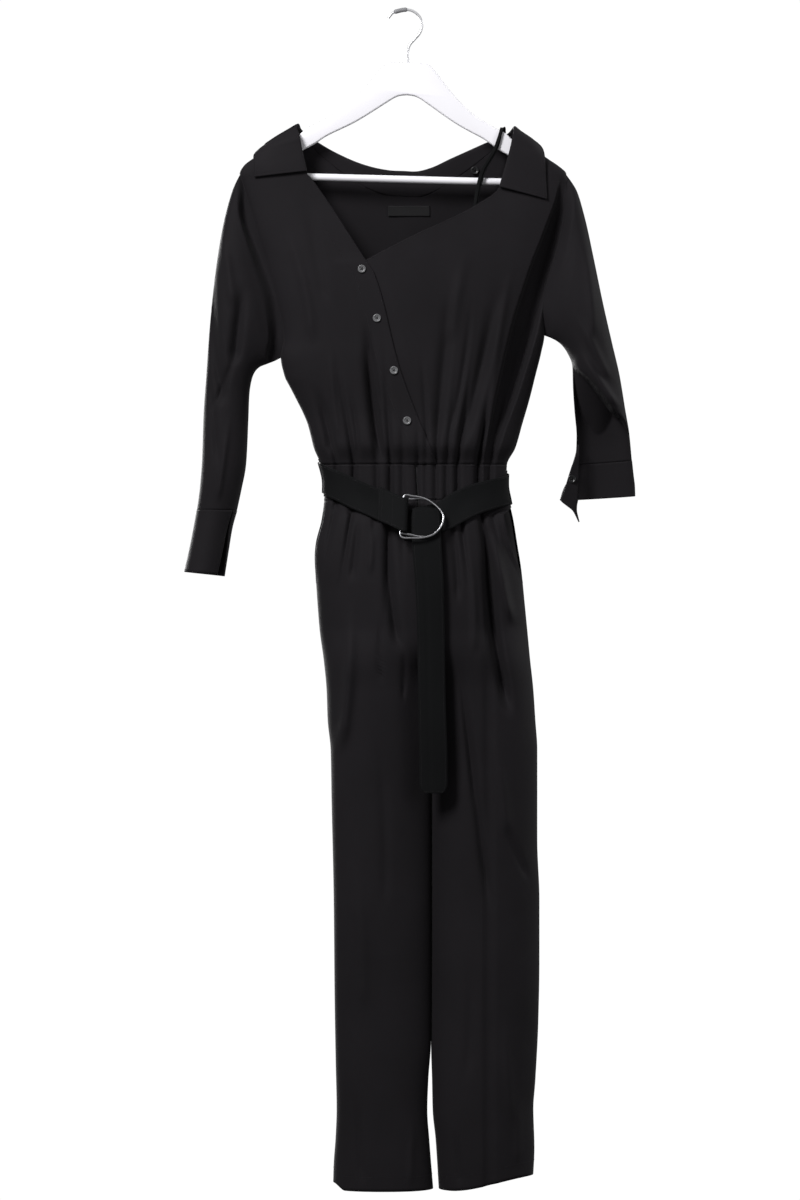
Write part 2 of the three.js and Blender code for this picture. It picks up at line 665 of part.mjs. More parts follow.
for (const half of ["right", "left"]) {
  const angles = spread(SLEEVE_SIDES).slice(0, -1).map((t) => 2 * Math.PI * t);
  const rings = named(SLEEVES[half]).map((section) => sleeveRing(half, section, angles));
  add("sleeve_" + half, wall(rings, { closed: true }), COLORS.cloth);
  const strips = named(CUFFS[half]).map((section) => {
    const slit = THREE.MathUtils.degToRad(section.slit);
    const open = THREE.MathUtils.degToRad(section.open);
    const turns = spread(SLEEVE_SIDES).map((t) => slit + open + t * (2 * Math.PI - 2 * open));
    return sleeveRing(half, section, turns);
  });
  add("cuff_" + half, wall(strips, { thickness: CUFF_THICKNESS }), COLORS.cloth);
}

// Collar: one folded piece from a front neck edge round the back to the other. Its sections run along t,
// each from the seam or the neck edge up to the fold and down to the free edge.
const COLLAR = {
  columns: ["t", "foldX", "foldZ", "edgeX", "edgeZ", "onSeam", "lift"],
  rows: [
    [0, -137.9, -225.4, -210.7, -232.4, 0, 1.9], [1, -143.5, -200.2, -211, -213, 0, 1.9],
    [2, -147.7, -176.4, -208, -198, 0, 4], [3, -150.5, -162.4, -202, -190, 0, 5],
    [4, -135, -173.6, -192, -221, 1, 0.4], [5, -122.5, -182, -160, -240, 1, 0],
    [6, -72.1, -207.2, -92, -268, 1, 0], [7, -23.1, -219.8, -28, -284, 1, 0],
    [8, 17.5, -221.2, 19, -286, 1, 0], [9, 62.3, -204.4, 78, -268, 1, 0],
    [10, 114.1, -182, 150, -242, 1, 0], [11, 133, -176.5, 180, -224, 1, 0.4],
    [12, 150, -165.5, 186.9, -191.8, 0, 5],
    [13, 146.3, -190.4, 193, -208, 0, 4], [14, 139.3, -218.4, 195.3, -236, 0, 1.9],
    [15, 130.9, -247.8, 196.7, -264.6, 0, 1.9],
  ],
};
const COLLAR_FOLD = 3.4;
const COLLAR_OVERLAP = 10;
const COLLAR_RIDGES = [3, 12];
const COLLAR_LAST = 15;
const COLLAR_STEP = 0.5;
const COLLAR_THICKNESS = 1.4;
// Above the neck seam, from the fold to where the leaf lies flat, and how the leaf falls towards its edge
const COLLAR_SEAM_RISE = 1.7;
const COLLAR_TURN = 2.2;
const LEAF = { near: 0.3, far: 0.65, farFall: 0.6, edgeFall: 1.2 };
function collarPoint(t, x, z, lift) {
  const onBack = t > COLLAR_RIDGES[0] && t < COLLAR_RIDGES[1];
  const point = bodyPoint(onBack ? BACK : FRONT, x, z, lift, false);
  if (COLLAR_RIDGES.includes(t)) point.y = 0;
  return point;
}
function collarRow(t) {
  const at = (name) => read(COLLAR, t, name);
  const fold = new THREE.Vector2(at("foldX"), at("foldZ"));
  const edge = new THREE.Vector2(at("edgeX"), at("edgeZ"));
  const down = edge.clone().sub(fold).normalize();
  const under = fold.clone().addScaledVector(down, COLLAR_OVERLAP);
  const seam = new THREE.Vector2(fold.x, read(BACK_NECK, fold.x, "z") + COLLAR_SEAM_RISE);
  const base = under.lerp(seam, at("onSeam"));
  const turned = fold.clone().addScaledVector(down, COLLAR_TURN);
  const low = at("lift");
  const high = low + COLLAR_FOLD;
  const place = (p, lift) => collarPoint(t, p.x, p.y, lift);
  return [
    place(base, low),
    place(base.clone().lerp(turned, 0.5), low),
    place(turned, low),
    place(fold, (low + high) / 2),
    place(turned, high),
    place(turned.clone().lerp(edge, LEAF.near), high),
    place(turned.clone().lerp(edge, LEAF.far), high - LEAF.farFall),
    place(edge, high - LEAF.edgeFall),
  ];
}
const collarRows = spread(COLLAR_LAST / COLLAR_STEP).map((u) => collarRow(u * COLLAR_LAST));
add("collar", wall(collarRows, { thickness: COLLAR_THICKNESS }), COLORS.cloth);

// Belt: a strap round the waist. Angles run from the wearer's right side seam, over the front, in degrees.
const BELT_THICKNESS = 1.8;
const NORMAL_DEGREES = 1.5;
function ringPoint(degrees, z, lift) {
  const turnOf = (d) => {
    const a = ((d % 360) + 360) % 360;
    if (a < 90) return halfPoint("right", FRONT, a / 90, z, false);
    if (a < 180) return halfPoint("left", FRONT, (180 - a) / 90, z, false);
    if (a < 270) return halfPoint("left", BACK, (a - 180) / 90, z, false);
    return halfPoint("right", BACK, (360 - a) / 90, z, false);
  };
  const point = turnOf(degrees);
  const ahead = turnOf(degrees + NORMAL_DEGREES).sub(turnOf(degrees - NORMAL_DEGREES));
  const normal = new THREE.Vector3(-ahead.y, ahead.x, 0).normalize().negate();
  return point.addScaledVector(normal, lift);
}
const frontAngle = (x, z) => {
  const half = x < read(MIDDLE, z) ? "right" : "left";
  const turn = turnAt(half, FRONT, x, z);
  return half === "right" ? turn * 90 : 180 - turn * 90;
};
const BELT_PATH = {
  columns: ["degrees", "z"],
  rows: [
    [frontAngle(6, -716), -716], [frontAngle(46, -709), -709], [frontAngle(68, -696.5), -696.5],
    [frontAngle(98.7, -682), -682], [frontAngle(125, -674), -674], [180, -668], [270, -655], [360, -652],
    [360 + frontAngle(-94.5, -663), -663], [360 + frontAngle(-62.3, -679), -679],
    [360 + frontAngle(-39.9, -689), -689], [360 + frontAngle(-12, -702), -702],
  ],
};
const BELT_STEPS = 44;
const BELT_ACROSS = [-0.5, 0, 0.5];
const BUCKLE = {
  x: -3,
  z: -708,
  lean: 0.04,
  depth: 50.2,
  slope: 0.34,
  lowLift: 13.6,
  highLift: 17.1,
  wire: 1.4,
};
// Near the buckle the strap rises off the cloth, and at the sides it lies close
const BELT_RISE = { height: 4, from: 0.95, share: 0.05 };
const BELT_SIDE_SHARE = 0.6;
const frontY = (z, lift) => -(BUCKLE.depth + BUCKLE.slope * (BUCKLE.z - z) + SEAM + lift);
const beltFirst = BELT_PATH.rows[0][0];
const beltLast = BELT_PATH.rows[BELT_PATH.rows.length - 1][0];
const beltRows = spread(BELT_STEPS).map((u) => {
  const degrees = mix(beltFirst, beltLast, u);
  const z = read(BELT_PATH, degrees);
  const a = ringPoint(degrees - 1, read(BELT_PATH, degrees - 1), 0);
  const b = ringPoint(degrees + 1, read(BELT_PATH, degrees + 1), 0);
  const slope = (b.z - a.z) / Math.hypot(b.x - a.x, b.y - a.y);
  const rise = BELT_RISE.height * smooth((u - BELT_RISE.from) / BELT_RISE.share);
  const turned = Math.abs(Math.sin(THREE.MathUtils.degToRad(degrees)));
  const lift = mix(BELT_LIFT.sides, BELT_LIFT.middle, smooth(turned / BELT_SIDE_SHARE)) + rise;
  const height = BELT_WIDTH * Math.hypot(1, slope);
  return BELT_ACROSS.map((w) => ringPoint(degrees, z + w * height, lift));
});
// The strap's end wraps round the straight sides of both rings and is sewn back on itself
const wrapLift = (BUCKLE.lowLift + BUCKLE.highLift) / 2;
const WRAP = {
  columns: ["forward", "lift"],
  rows: [[0, -5.2], [3.9, -3.43], [5.2, 0], [3.9, 3.43], [0, 5.2], [-12, 3.4], [-24, -0.6], [-36, -3.4]],
};
const WRAP_RISE = 4;
const WRAP_SLOPE = 0.45;
const WRAP_STRETCH = 1.1;
for (const { forward, lift } of named(WRAP))
  beltRows.push(
    BELT_ACROSS.map((w) => {
      const x = BUCKLE.x + forward;
      const middle = BUCKLE.z + WRAP_RISE - WRAP_SLOPE * Math.min(forward, 0);
      const z = middle + w * BELT_WIDTH * WRAP_STRETCH;
      return new THREE.Vector3(x + (z - BUCKLE.z) * BUCKLE.lean, frontY(z, wrapLift + lift), z);
    }),
  );
add("belt", wall(beltRows, { thickness: BELT_THICKNESS }), COLORS.belt);

// The belt's free end hangs from the rings
const TAIL = {
  columns: ["z", "x", "y", "half"],
  rows: [
    [-696, 30, -58.1, 17], [-712, 30.5, -63, 18.5], [-745, 29.6, -71, 20], [-800, 33, -74, 19.5],
    [-860, 35, -72.5, 19], [-960, 36.4, -69, 19], [-1040, 38.4, -65.5, 19.5], [-1078, 38.6, -64, 19.5],
    [-1087, 38.6, -64, 17], [-1091, 38.6, -64, 12],
  ],
};
const TAIL_ACROSS = [-1, 0, 1];
const TAIL_CURL = 1.2;
const tailRows = named(TAIL).map(({ z, x, y, half }) =>
  TAIL_ACROSS.map((w) => new THREE.Vector3(x + w * half, y + TAIL_CURL * w * w, z)),
);
add("belt_tail", wall(tailRows, { thickness: BELT_THICKNESS }), COLORS.belt);

// Two D-rings side by side, their straight sides in the strap's loop
const RING_CURVE = {
  columns: ["x", "z"],
  rows: [
    [-2, 26], [10.6, 29], [26.6, 25.5], [39.9, 17.5], [50, 6.5], [52, -3.5], [47, -17], [37, -28], [24, -32],
    [10, -32.5], [-4, -27], [-3, 0],
  ],
};
const RING_STEPS = 26;
const RING_SIDES = 6;
const RING_SHIFT = { x: -1.6, z: 0.6 };
function ringGeometry(lift, shiftX, shiftZ) {
  const corners = named(RING_CURVE).map(({ x, z }) => new THREE.Vector3(x, 0, z));
  const path = new THREE.CatmullRomCurve3(corners, true, "centripetal");
  const points = path.getSpacedPoints(RING_STEPS).slice(0, -1).map((p) => {
    const z = BUCKLE.z + p.z + shiftZ;
    return new THREE.Vector3(p.x + shiftX, frontY(z, lift), z);
  });
  return wire(points, BUCKLE.wire, new THREE.Vector3(0, 1, 0), { closed: true, sides: RING_SIDES });
}
add("belt_ring_1", ringGeometry(BUCKLE.highLift, 0, 0), COLORS.metal);
add("belt_ring_2", ringGeometry(BUCKLE.lowLift, RING_SHIFT.x, RING_SHIFT.z), COLORS.metal);

// Buttons with four holes
const HOLES = [[1, 1], [-1, 1], [-1, -1], [1, -1]];
const HOLE_PLACE = 1.12;
const HOLE_RADIUS = 0.73;
function buttonGeometry() {
  const shape = new THREE.Shape().absarc(0, 0, BUTTON_RADIUS, 0, 2 * Math.PI);
  for (const [x, y] of HOLES) {
    const hole = new THREE.Path();
    hole.absarc(x * HOLE_PLACE, y * HOLE_PLACE, HOLE_RADIUS, 0, 2 * Math.PI);
    shape.holes.push(hole);
  }
  const geometry = new THREE.ExtrudeGeometry(shape, {
    depth: BUTTON_THICKNESS,
    bevelEnabled: false,
    curveSegments: 4,
  });
  geometry.translate(0, 0, -BUTTON_THICKNESS / 2);
  return geometry.rotateX(Math.PI / 2);
}
const BUTTONS = {
  columns: ["x", "z", "lift"],
  rows: [[-60.9, -362.6, 0.7], [-39.9, -431.2, 0.4], [-16.1, -504, 0.5], [2.1, -574, 1.1]],
};
function addButton(name, position) {
  const material = new THREE.MeshStandardMaterial({ color: COLORS.button, roughness: ROUGHNESS.button });
  const mesh = new THREE.Mesh(buttonGeometry(), material);
  mesh.name = name;
  mesh.position.copy(position);
  group.add(mesh);
}
const BUTTON_LIFT = CLOTH / 2 + BUTTON_THICKNESS / 2;
named(BUTTONS).forEach(({ x, z, lift }, i) => {
  const y = bodyPoint(FRONT, x, z).y - OVERLAP_LIFT - BUTTON_LIFT - lift;
  addButton("button_" + (i + 1), new THREE.Vector3(x, y, z));
});
const INNER_BUTTON = { x: 97.3, z: -219.8, lift: 1.5 };
const innerButton = bodyPoint(BACK, INNER_BUTTON.x, INNER_BUTTON.z);
innerButton.y -= BUTTON_LIFT + INNER_BUTTON.lift;
addButton("button_inner", innerButton);

// Bare woven label inside the back, under the collar seam
const LABEL = { left: -24.5, right: 34.3, top: -268.8, bottom: -283.5, lift: -1.7, rows: 2, columns: 6 };
const RIBBON_THICKNESS = 1;
const labelRows = spread(LABEL.rows).map((v) => {
  const z = mix(LABEL.top, LABEL.bottom, v);
  return spread(LABEL.columns).map((u) =>
    bodyPoint(BACK, mix(LABEL.left, LABEL.right, u), z, LABEL.lift, false),
  );
});
add("label", wall(labelRows, { thickness: RIBBON_THICKNESS }), COLORS.label);

// Hanger loop: a ribbon sewn inside the shoulder, laid over the hanger's arm and hanging inside the front
const LOOP = [
  [137, 7.5, -178], [137.5, 6.5, -168], [137, 0, -162.5], [134, -7.5, -166.5], [125.5, -9.5, -193],
  [110, -10.5, -221], [103, -11.5, -244], [97.5, -14, -273], [95, -17, -290],
];
const LOOP_WIDTH = 6.5;
const LOOP_SIDEWAYS = new THREE.Vector3(0.92, 0, 0.38);
const LOOP_STEPS = 26;
const loopPath = LOOP.map(([x, y, z]) => new THREE.Vector3(x, y, z));
const loopCurve = new THREE.CatmullRomCurve3(loopPath, false, "centripetal");
const loopRows = loopCurve
  .getSpacedPoints(LOOP_STEPS)
  .map((p) => [-0.5, 0.5].map((w) => p.clone().addScaledVector(LOOP_SIDEWAYS, w * LOOP_WIDTH)));
add("hanger_loop", wall(loopRows, { thickness: RIBBON_THICKNESS }), COLORS.belt);

// Hanger: wooden body, lower bar and wire hook, tilted a little as it hangs
const HANGER = { x: 3.5, top: -71.4, thickness: 9, bevel: 2.5, tilt: THREE.MathUtils.degToRad(1.5) };
const hanger = new THREE.Group();
hanger.position.set(HANGER.x, 0, HANGER.top);
hanger.rotation.y = HANGER.tilt;
group.add(hanger);
const ARM_TOP = [
  [25.5, 0], [32, -4], [40.6, -13], [57.4, -34], [78.4, -56.5], [98, -72.5], [126, -88.5], [139, -94.5],
  [148, -103], [165, -115], [180, -126], [195, -139], [204, -151],
];
const ARM_BOTTOM = [
  [210, -158], [208, -170], [196, -170], [196, -156], [188, -149], [170, -138.5], [145.6, -126.7],
  [126, -115.5], [109, -104], [75.6, -87], [53, -73], [30.8, -58], [14, -47.5], [0, -45],
];
function hangerGeometry() {
  const right = [...ARM_TOP, ...ARM_BOTTOM];
  const left = right.slice(0, -1).reverse().map(([x, z]) => [-x, z]);
  const shape = new THREE.Shape([...right, ...left].map(([x, z]) => new THREE.Vector2(x, z)));
  const geometry = new THREE.ExtrudeGeometry(shape, {
    depth: HANGER.thickness - 2 * HANGER.bevel,
    bevelThickness: HANGER.bevel,
    bevelSize: HANGER.bevel,
    bevelOffset: -HANGER.bevel,
    bevelSegments: 1,
  });
  geometry.translate(0, 0, -HANGER.thickness / 2 + HANGER.bevel);
  geometry.rotateX(Math.PI / 2);
  return geometry;
}
const HOOK = { radius: 1.7, hole: 2.05, bore: 60, middle: -24, sides: 8, steps: 24 };
const BORE_SIDES = 12;
const bore = new THREE.CylinderGeometry(HOOK.hole, HOOK.hole, HOOK.bore, BORE_SIDES);
bore.rotateX(Math.PI / 2).translate(0, 0, HOOK.middle);
const wood = new THREE.MeshStandardMaterial({ color: COLORS.wood, roughness: ROUGHNESS.wood });
const hangerMesh = new THREE.Mesh(fromSolid(solid(hangerGeometry()).subtract(solid(bore))), wood);
hangerMesh.name = "hanger_body";
hanger.add(hangerMesh);
const BAR = { radius: 5, half: 195.6, z: -163, sides: 14 };
const barGeometry = new THREE.CylinderGeometry(BAR.radius, BAR.radius, 2 * BAR.half, BAR.sides);
barGeometry.rotateZ(Math.PI / 2).translate(0, 0, BAR.z);
const barMesh = new THREE.Mesh(barGeometry, wood);
barMesh.name = "hanger_bar";
hanger.add(barMesh);

// Hook: a wire that opens to the left, and its stem down through the wood
const HOOK_PATH = [
  [-24, -8.4], [-18, -1.5], [-9.5, 1.6], [0, 3.2], [9.5, 1.6], [18, -4.5], [22.8, -14], [22.5, -23],
  [19, -31], [12, -39], [6, -46], [3.6, -54], [3.6, -62],
];
const STEM = [-2, -24, -44.4];
const forward = new THREE.Vector3(0, 1, 0);
const hookPath = HOOK_PATH.map(([x, z]) => new THREE.Vector3(x, 0, z));
const hookPoints = new THREE.CatmullRomCurve3(hookPath, false, "centripetal").getSpacedPoints(HOOK.steps);
for (const z of STEM)
  hookPoints.push(new THREE.Vector3(0, 0, z).applyAxisAngle(forward, HANGER.tilt).add(hanger.position));
add("hanger_hook", wire(hookPoints, HOOK.radius, forward, { sides: HOOK.sides }), COLORS.metal);

export default group;
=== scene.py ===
"""A black jumpsuit on a white wooden hanger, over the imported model. Lengths are in mm unless said."""
import math

import bmesh
import bpy
import numpy as np
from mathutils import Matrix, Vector


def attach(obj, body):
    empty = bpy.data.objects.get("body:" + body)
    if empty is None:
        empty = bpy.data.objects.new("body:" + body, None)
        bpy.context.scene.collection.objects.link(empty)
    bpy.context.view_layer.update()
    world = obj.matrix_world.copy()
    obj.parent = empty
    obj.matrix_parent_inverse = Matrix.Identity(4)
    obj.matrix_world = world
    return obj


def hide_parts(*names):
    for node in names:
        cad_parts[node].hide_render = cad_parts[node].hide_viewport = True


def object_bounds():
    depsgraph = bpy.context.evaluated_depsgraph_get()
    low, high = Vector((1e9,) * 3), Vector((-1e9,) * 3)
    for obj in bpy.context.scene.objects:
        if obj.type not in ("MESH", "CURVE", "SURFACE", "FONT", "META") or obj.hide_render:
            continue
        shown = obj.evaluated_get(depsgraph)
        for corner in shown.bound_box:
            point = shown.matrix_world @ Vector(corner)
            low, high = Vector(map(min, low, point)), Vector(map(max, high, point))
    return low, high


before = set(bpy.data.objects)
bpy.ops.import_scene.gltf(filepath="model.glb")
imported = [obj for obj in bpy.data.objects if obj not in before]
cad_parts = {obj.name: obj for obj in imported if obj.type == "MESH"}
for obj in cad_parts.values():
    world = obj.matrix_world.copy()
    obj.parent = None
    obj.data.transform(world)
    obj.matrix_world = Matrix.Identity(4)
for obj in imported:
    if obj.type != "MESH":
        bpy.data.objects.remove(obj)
CAD_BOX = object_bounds()

MM = 0.001
CLOTH = 1.0
SEAM = 0.6
SEAM_CLOSING = 4.0
SEAM_STEP = 0.05
SOFTNESS = 2.3
WAIST_SEAM = -634.2
BAND_BOTTOM = -684.0
FORK = -950.0
FORK_BLEND = 90.0
FRONT = -1
BACK = 1

# Camera: the photograph's frame is 800 by 1200 pixels at 1.4 mm a pixel in the hanger's plane
PHOTO_WIDTH = 800
PHOTO_HEIGHT = 1200
MM_PER_PIXEL = 1.4
ORIGIN_PIXEL = (405.5, 12.0)
CAMERA_METRES = 6.0
SENSOR = 36.0


def at_pixel(px, py):
    return (px - ORIGIN_PIXEL[0]) * MM_PER_PIXEL, (ORIGIN_PIXEL[1] - py) * MM_PER_PIXEL


def make_camera():
    data = bpy.data.cameras.new("camera")
    data.sensor_width = SENSOR
    data.lens = SENSOR * CAMERA_METRES / (PHOTO_HEIGHT * MM_PER_PIXEL * MM)
    camera = bpy.data.objects.new("camera", data)
    x, z = at_pixel(PHOTO_WIDTH / 2, PHOTO_HEIGHT / 2)
    camera.location = (x * MM, -CAMERA_METRES, z * MM)
    camera.rotation_euler = (math.pi / 2, 0, 0)
    bpy.context.scene.collection.objects.link(camera)
    bpy.context.scene.camera = camera


make_camera()

# Outline of the body seen from the front, shoulder to hem: height, x
EDGE_RIGHT = [
    (-150, -134), (-166.6, -149.1), (-177.8, -170.1), (-191.1, -192.5), (-203, -209.3), (-215.6, -226),
    (-226.8, -231.7), (-235.2, -228.5), (-291, -211), (-347.2, -193.9), (-411.6, -177.1), (-459.2, -170),
    (-483, -174.3), (-509.6, -169), (-526.4, -160.5), (-543, -152), (-560, -143.5), (-577, -136.5),
    (-594, -132), (-610, -128), (-634.2, -118), (-661, -112.7), (-684, -113.5), (-711, -117), (-745, -125.3),
    (-762, -126.7), (-809, -124), (-865, -119.7), (-907, -114), (-949, -110), (-991, -108.5), (-1033, -104.3),
    (-1103, -103), (-1243, -100), (-1383, -98.7), (-1467, -97.3), (-1537, -95.9), (-1579, -97.3),
    (-1621, -100), (-1655, -101),
]
EDGE_LEFT = [
    (-150, 134), (-170.1, 151.9), (-185.5, 174.3), (-198.8, 189.7), (-207.2, 200.9), (-215.6, 213.5),
    (-226.8, 224.7), (-249, 226), (-313.6, 217.7), (-372.4, 202.3), (-420, 192), (-452, 194),
    (-476, 189.7), (-509.6, 181.3), (-543, 172.9), (-577, 163), (-610.4, 153.3), (-634.2, 141.5),
    (-661, 140.7), (-684, 144.5), (-711, 150.5), (-745, 156), (-781, 161.7), (-823, 165.9), (-865, 170),
    (-907, 174), (-949, 178.5), (-991, 181.3), (-1033, 184), (-1159, 184), (-1243, 187), (-1327, 187),
    (-1411, 185.5), (-1495, 181.3), (-1537, 178.5), (-1607, 180), (-1655, 178),
]
MIDDLE = [(-150, 0), (-300, 4), (-452, 8), (-634, 14), (-684, 17.5), (-823, 25.9), (-950, 34.3), (-1655, 36)]
INNER_RIGHT = [
    (-950, 34.3), (-1093, 35.5), (-1300, 35.6), (-1440, 35.2), (-1495, 31.5), (-1537, 30.1), (-1579, 32.9),
    (-1655, 39),
]
INNER_LEFT = [
    (-950, 34.9), (-1093, 36.3), (-1300, 36.4), (-1440, 36.2), (-1495, 37.6), (-1537, 38.5), (-1579, 42.7),
    (-1655, 47.5),
]
DEPTHS = [
    (-150, 13, 14), (-170, 16, 18), (-190, 19, 21), (-230, 23, 25), (-300, 33, 31), (-400, 40, 35),
    (-480, 42, 37), (-560, 43, 39), (-606, 48, 43), (-634, 38, 37), (-684, 41, 40), (-720, 55, 52),
    (-800, 62, 62), (-900, 58, 64), (-950, 52, 58), (-1100, 45, 49), (-1400, 41, 44), (-1655, 43, 45),
]
# Top, bottom and depth, and how quickly the depth grows from its ends
ARMHOLES = {"right": (-226.8, -483, 10), "left": (-226.8, -452, 15)}
ARMHOLE_POWER = 0.8
UPPER_EDGE = [
    (-166.6, -149.1), (-193, -146), (-226.8, -137.9), (-235.2, -130.9), (-350, -55.3), (-368.2, -43.5),
    (-501.2, -7.7), (-634.2, 44.1),
]
LOWER_EDGE = [
    (-170.1, 151.9), (-193, 147.7), (-229.6, 137.9), (-249.2, 129.5), (-275.8, 93.1), (-298.2, 48.3),
    (-310.8, 20.3), (-350, -55.3), (-361.2, -74.9), (-372, -84.7), (-634.2, 10.5),
]
BACK_NECK = [
    (-149.1, -166.6), (-122.5, -196), (-72, -236), (-23, -256), (17.5, -258), (62, -238), (114, -200),
    (151.9, -170.1),
]
# Gathers at the waist: x on the seam, lean, reach up and down, half width, depth
GATHERS = {
    FRONT: [
        (-96, -0.2, 60, 70, 5, 3.4), (-72, -0.16, 90, 90, 5, 4), (-40, -0.12, 60, 60, 5, 3.2),
        (-21, -0.05, 90, 110, 5, 4), (-4, 0, 50, 70, 4.5, 3), (17, 0.02, 40, 90, 4.5, 3.4),
        (28, 0.04, 60, 60, 4, 2.6), (42, 0.06, 70, 80, 4.5, 3.4), (57, 0.1, 90, 70, 5, 3.4),
        (72, 0.14, 110, 90, 5, 4), (101, 0.16, 110, 110, 5.5, 4.4), (118, 0.18, 70, 80, 5, 3.2),
    ],
    BACK: [
        (-92, -0.18, 70, 80, 5.5, 3.4), (-64, -0.12, 95, 60, 5, 4), (-43, -0.1, 60, 90, 5, 3.2),
        (-18, -0.04, 85, 70, 5.5, 3.6), (3, 0, 60, 100, 5, 3.2), (22, 0.02, 100, 60, 5, 4),
        (47, 0.08, 70, 80, 5, 3), (68, 0.12, 80, 100, 5.5, 4), (92, 0.15, 60, 70, 5, 3.2),
        (116, 0.2, 90, 80, 5, 3.6),
    ],
}
# Long folds as in the solids: side, upper x and z, lower x and z, bow, half width, height
FOLDS = [
    (FRONT, -53, -430, -30, -640, -6, 8, -9),
    (FRONT, -128, -520, -104, -625, 4, 8, -4), (FRONT, 64, -380, 42, -620, 0, 10, -4),
    (FRONT, 128, -380, 74, -620, 4, 10, -5), (FRONT, -24, -700, -8, -900, -6, 8, -6),
    (FRONT, 110, -700, 146, -990, -8, 9, -11), (FRONT, 126, -720, 150, -860, -4, 8, 5),
    (FRONT, -78, -820, -92, -1040, 6, 10, 5), (FRONT, 74, -880, 116, -1260, 0, 7, -4),
    (BACK, -70, -420, -40, -630, 0, 12, -6), (BACK, 60, -400, 76, -630, 0, 12, -6),
    (BACK, -60, -700, -70, -980, 0, 12, -7), (BACK, 96, -700, 112, -960, 0, 12, -7),
    (FRONT, -272, -330, -252, -560, -6, 10, -5),
    (FRONT, -226, -380, -240, -500, 0, 9, -6), (BACK, -262, -330, -250, -560, 0, 12, -6),
    (BACK, 262, -330, 280, -540, 0, 12, -6),
]
# How the finer cloth differs from the solids: deeper and slimmer folds, with less even gathers
FINE_GAIN = 1.9
FINE_SLIM = 0.82
EVEN_DEPTH = 3.7
EVEN_POWER = 1.6
# Shares of a fold over which it starts and ends
FINE_FADE = (0.5, 0.2)
PLAIN_FADE = (0.25, 0.3)
RELIEF_FADE = 0.5
# The deep shadowed fold beside an armhole: height, its near edge, width, depth
VALLEY_FRONT = [
    (-232, 214, 6, 0), (-255, 211, 10, 9), (-300, 196, 20, 17), (-361, 173, 27, 22), (-448, 146, 29, 23),
    (-531, 127, 23, 19), (-600, 113, 13, 11), (-634, 108, 9, 3),
]
VALLEY_BACK = [
    (-232, 214, 6, 0), (-300, 198, 14, 8), (-380, 180, 18, 12), (-470, 160, 18, 12), (-560, 144, 14, 8),
    (-634, 130, 10, 0),
]
VALLEY_SIDES = (5, 10)
# The upper sleeve's lower fold edge in front: x, its height, drop below it. The cloth under it leans back
SHELF = [
    (226, -486, 0), (236, -497, 3), (255.5, -515, 5), (273.7, -537.6, 6), (289, -557, 7), (303, -571, 6),
    (313, -592, 3), (322, -612, 0),
]
SHELF_TOP = (228, -488)
SHELF_SLOPE = (0.16, 0.42)
SHELF_START = (222, 10)
SHELF_EDGE = 5
SUNK_SHARE = 0.6
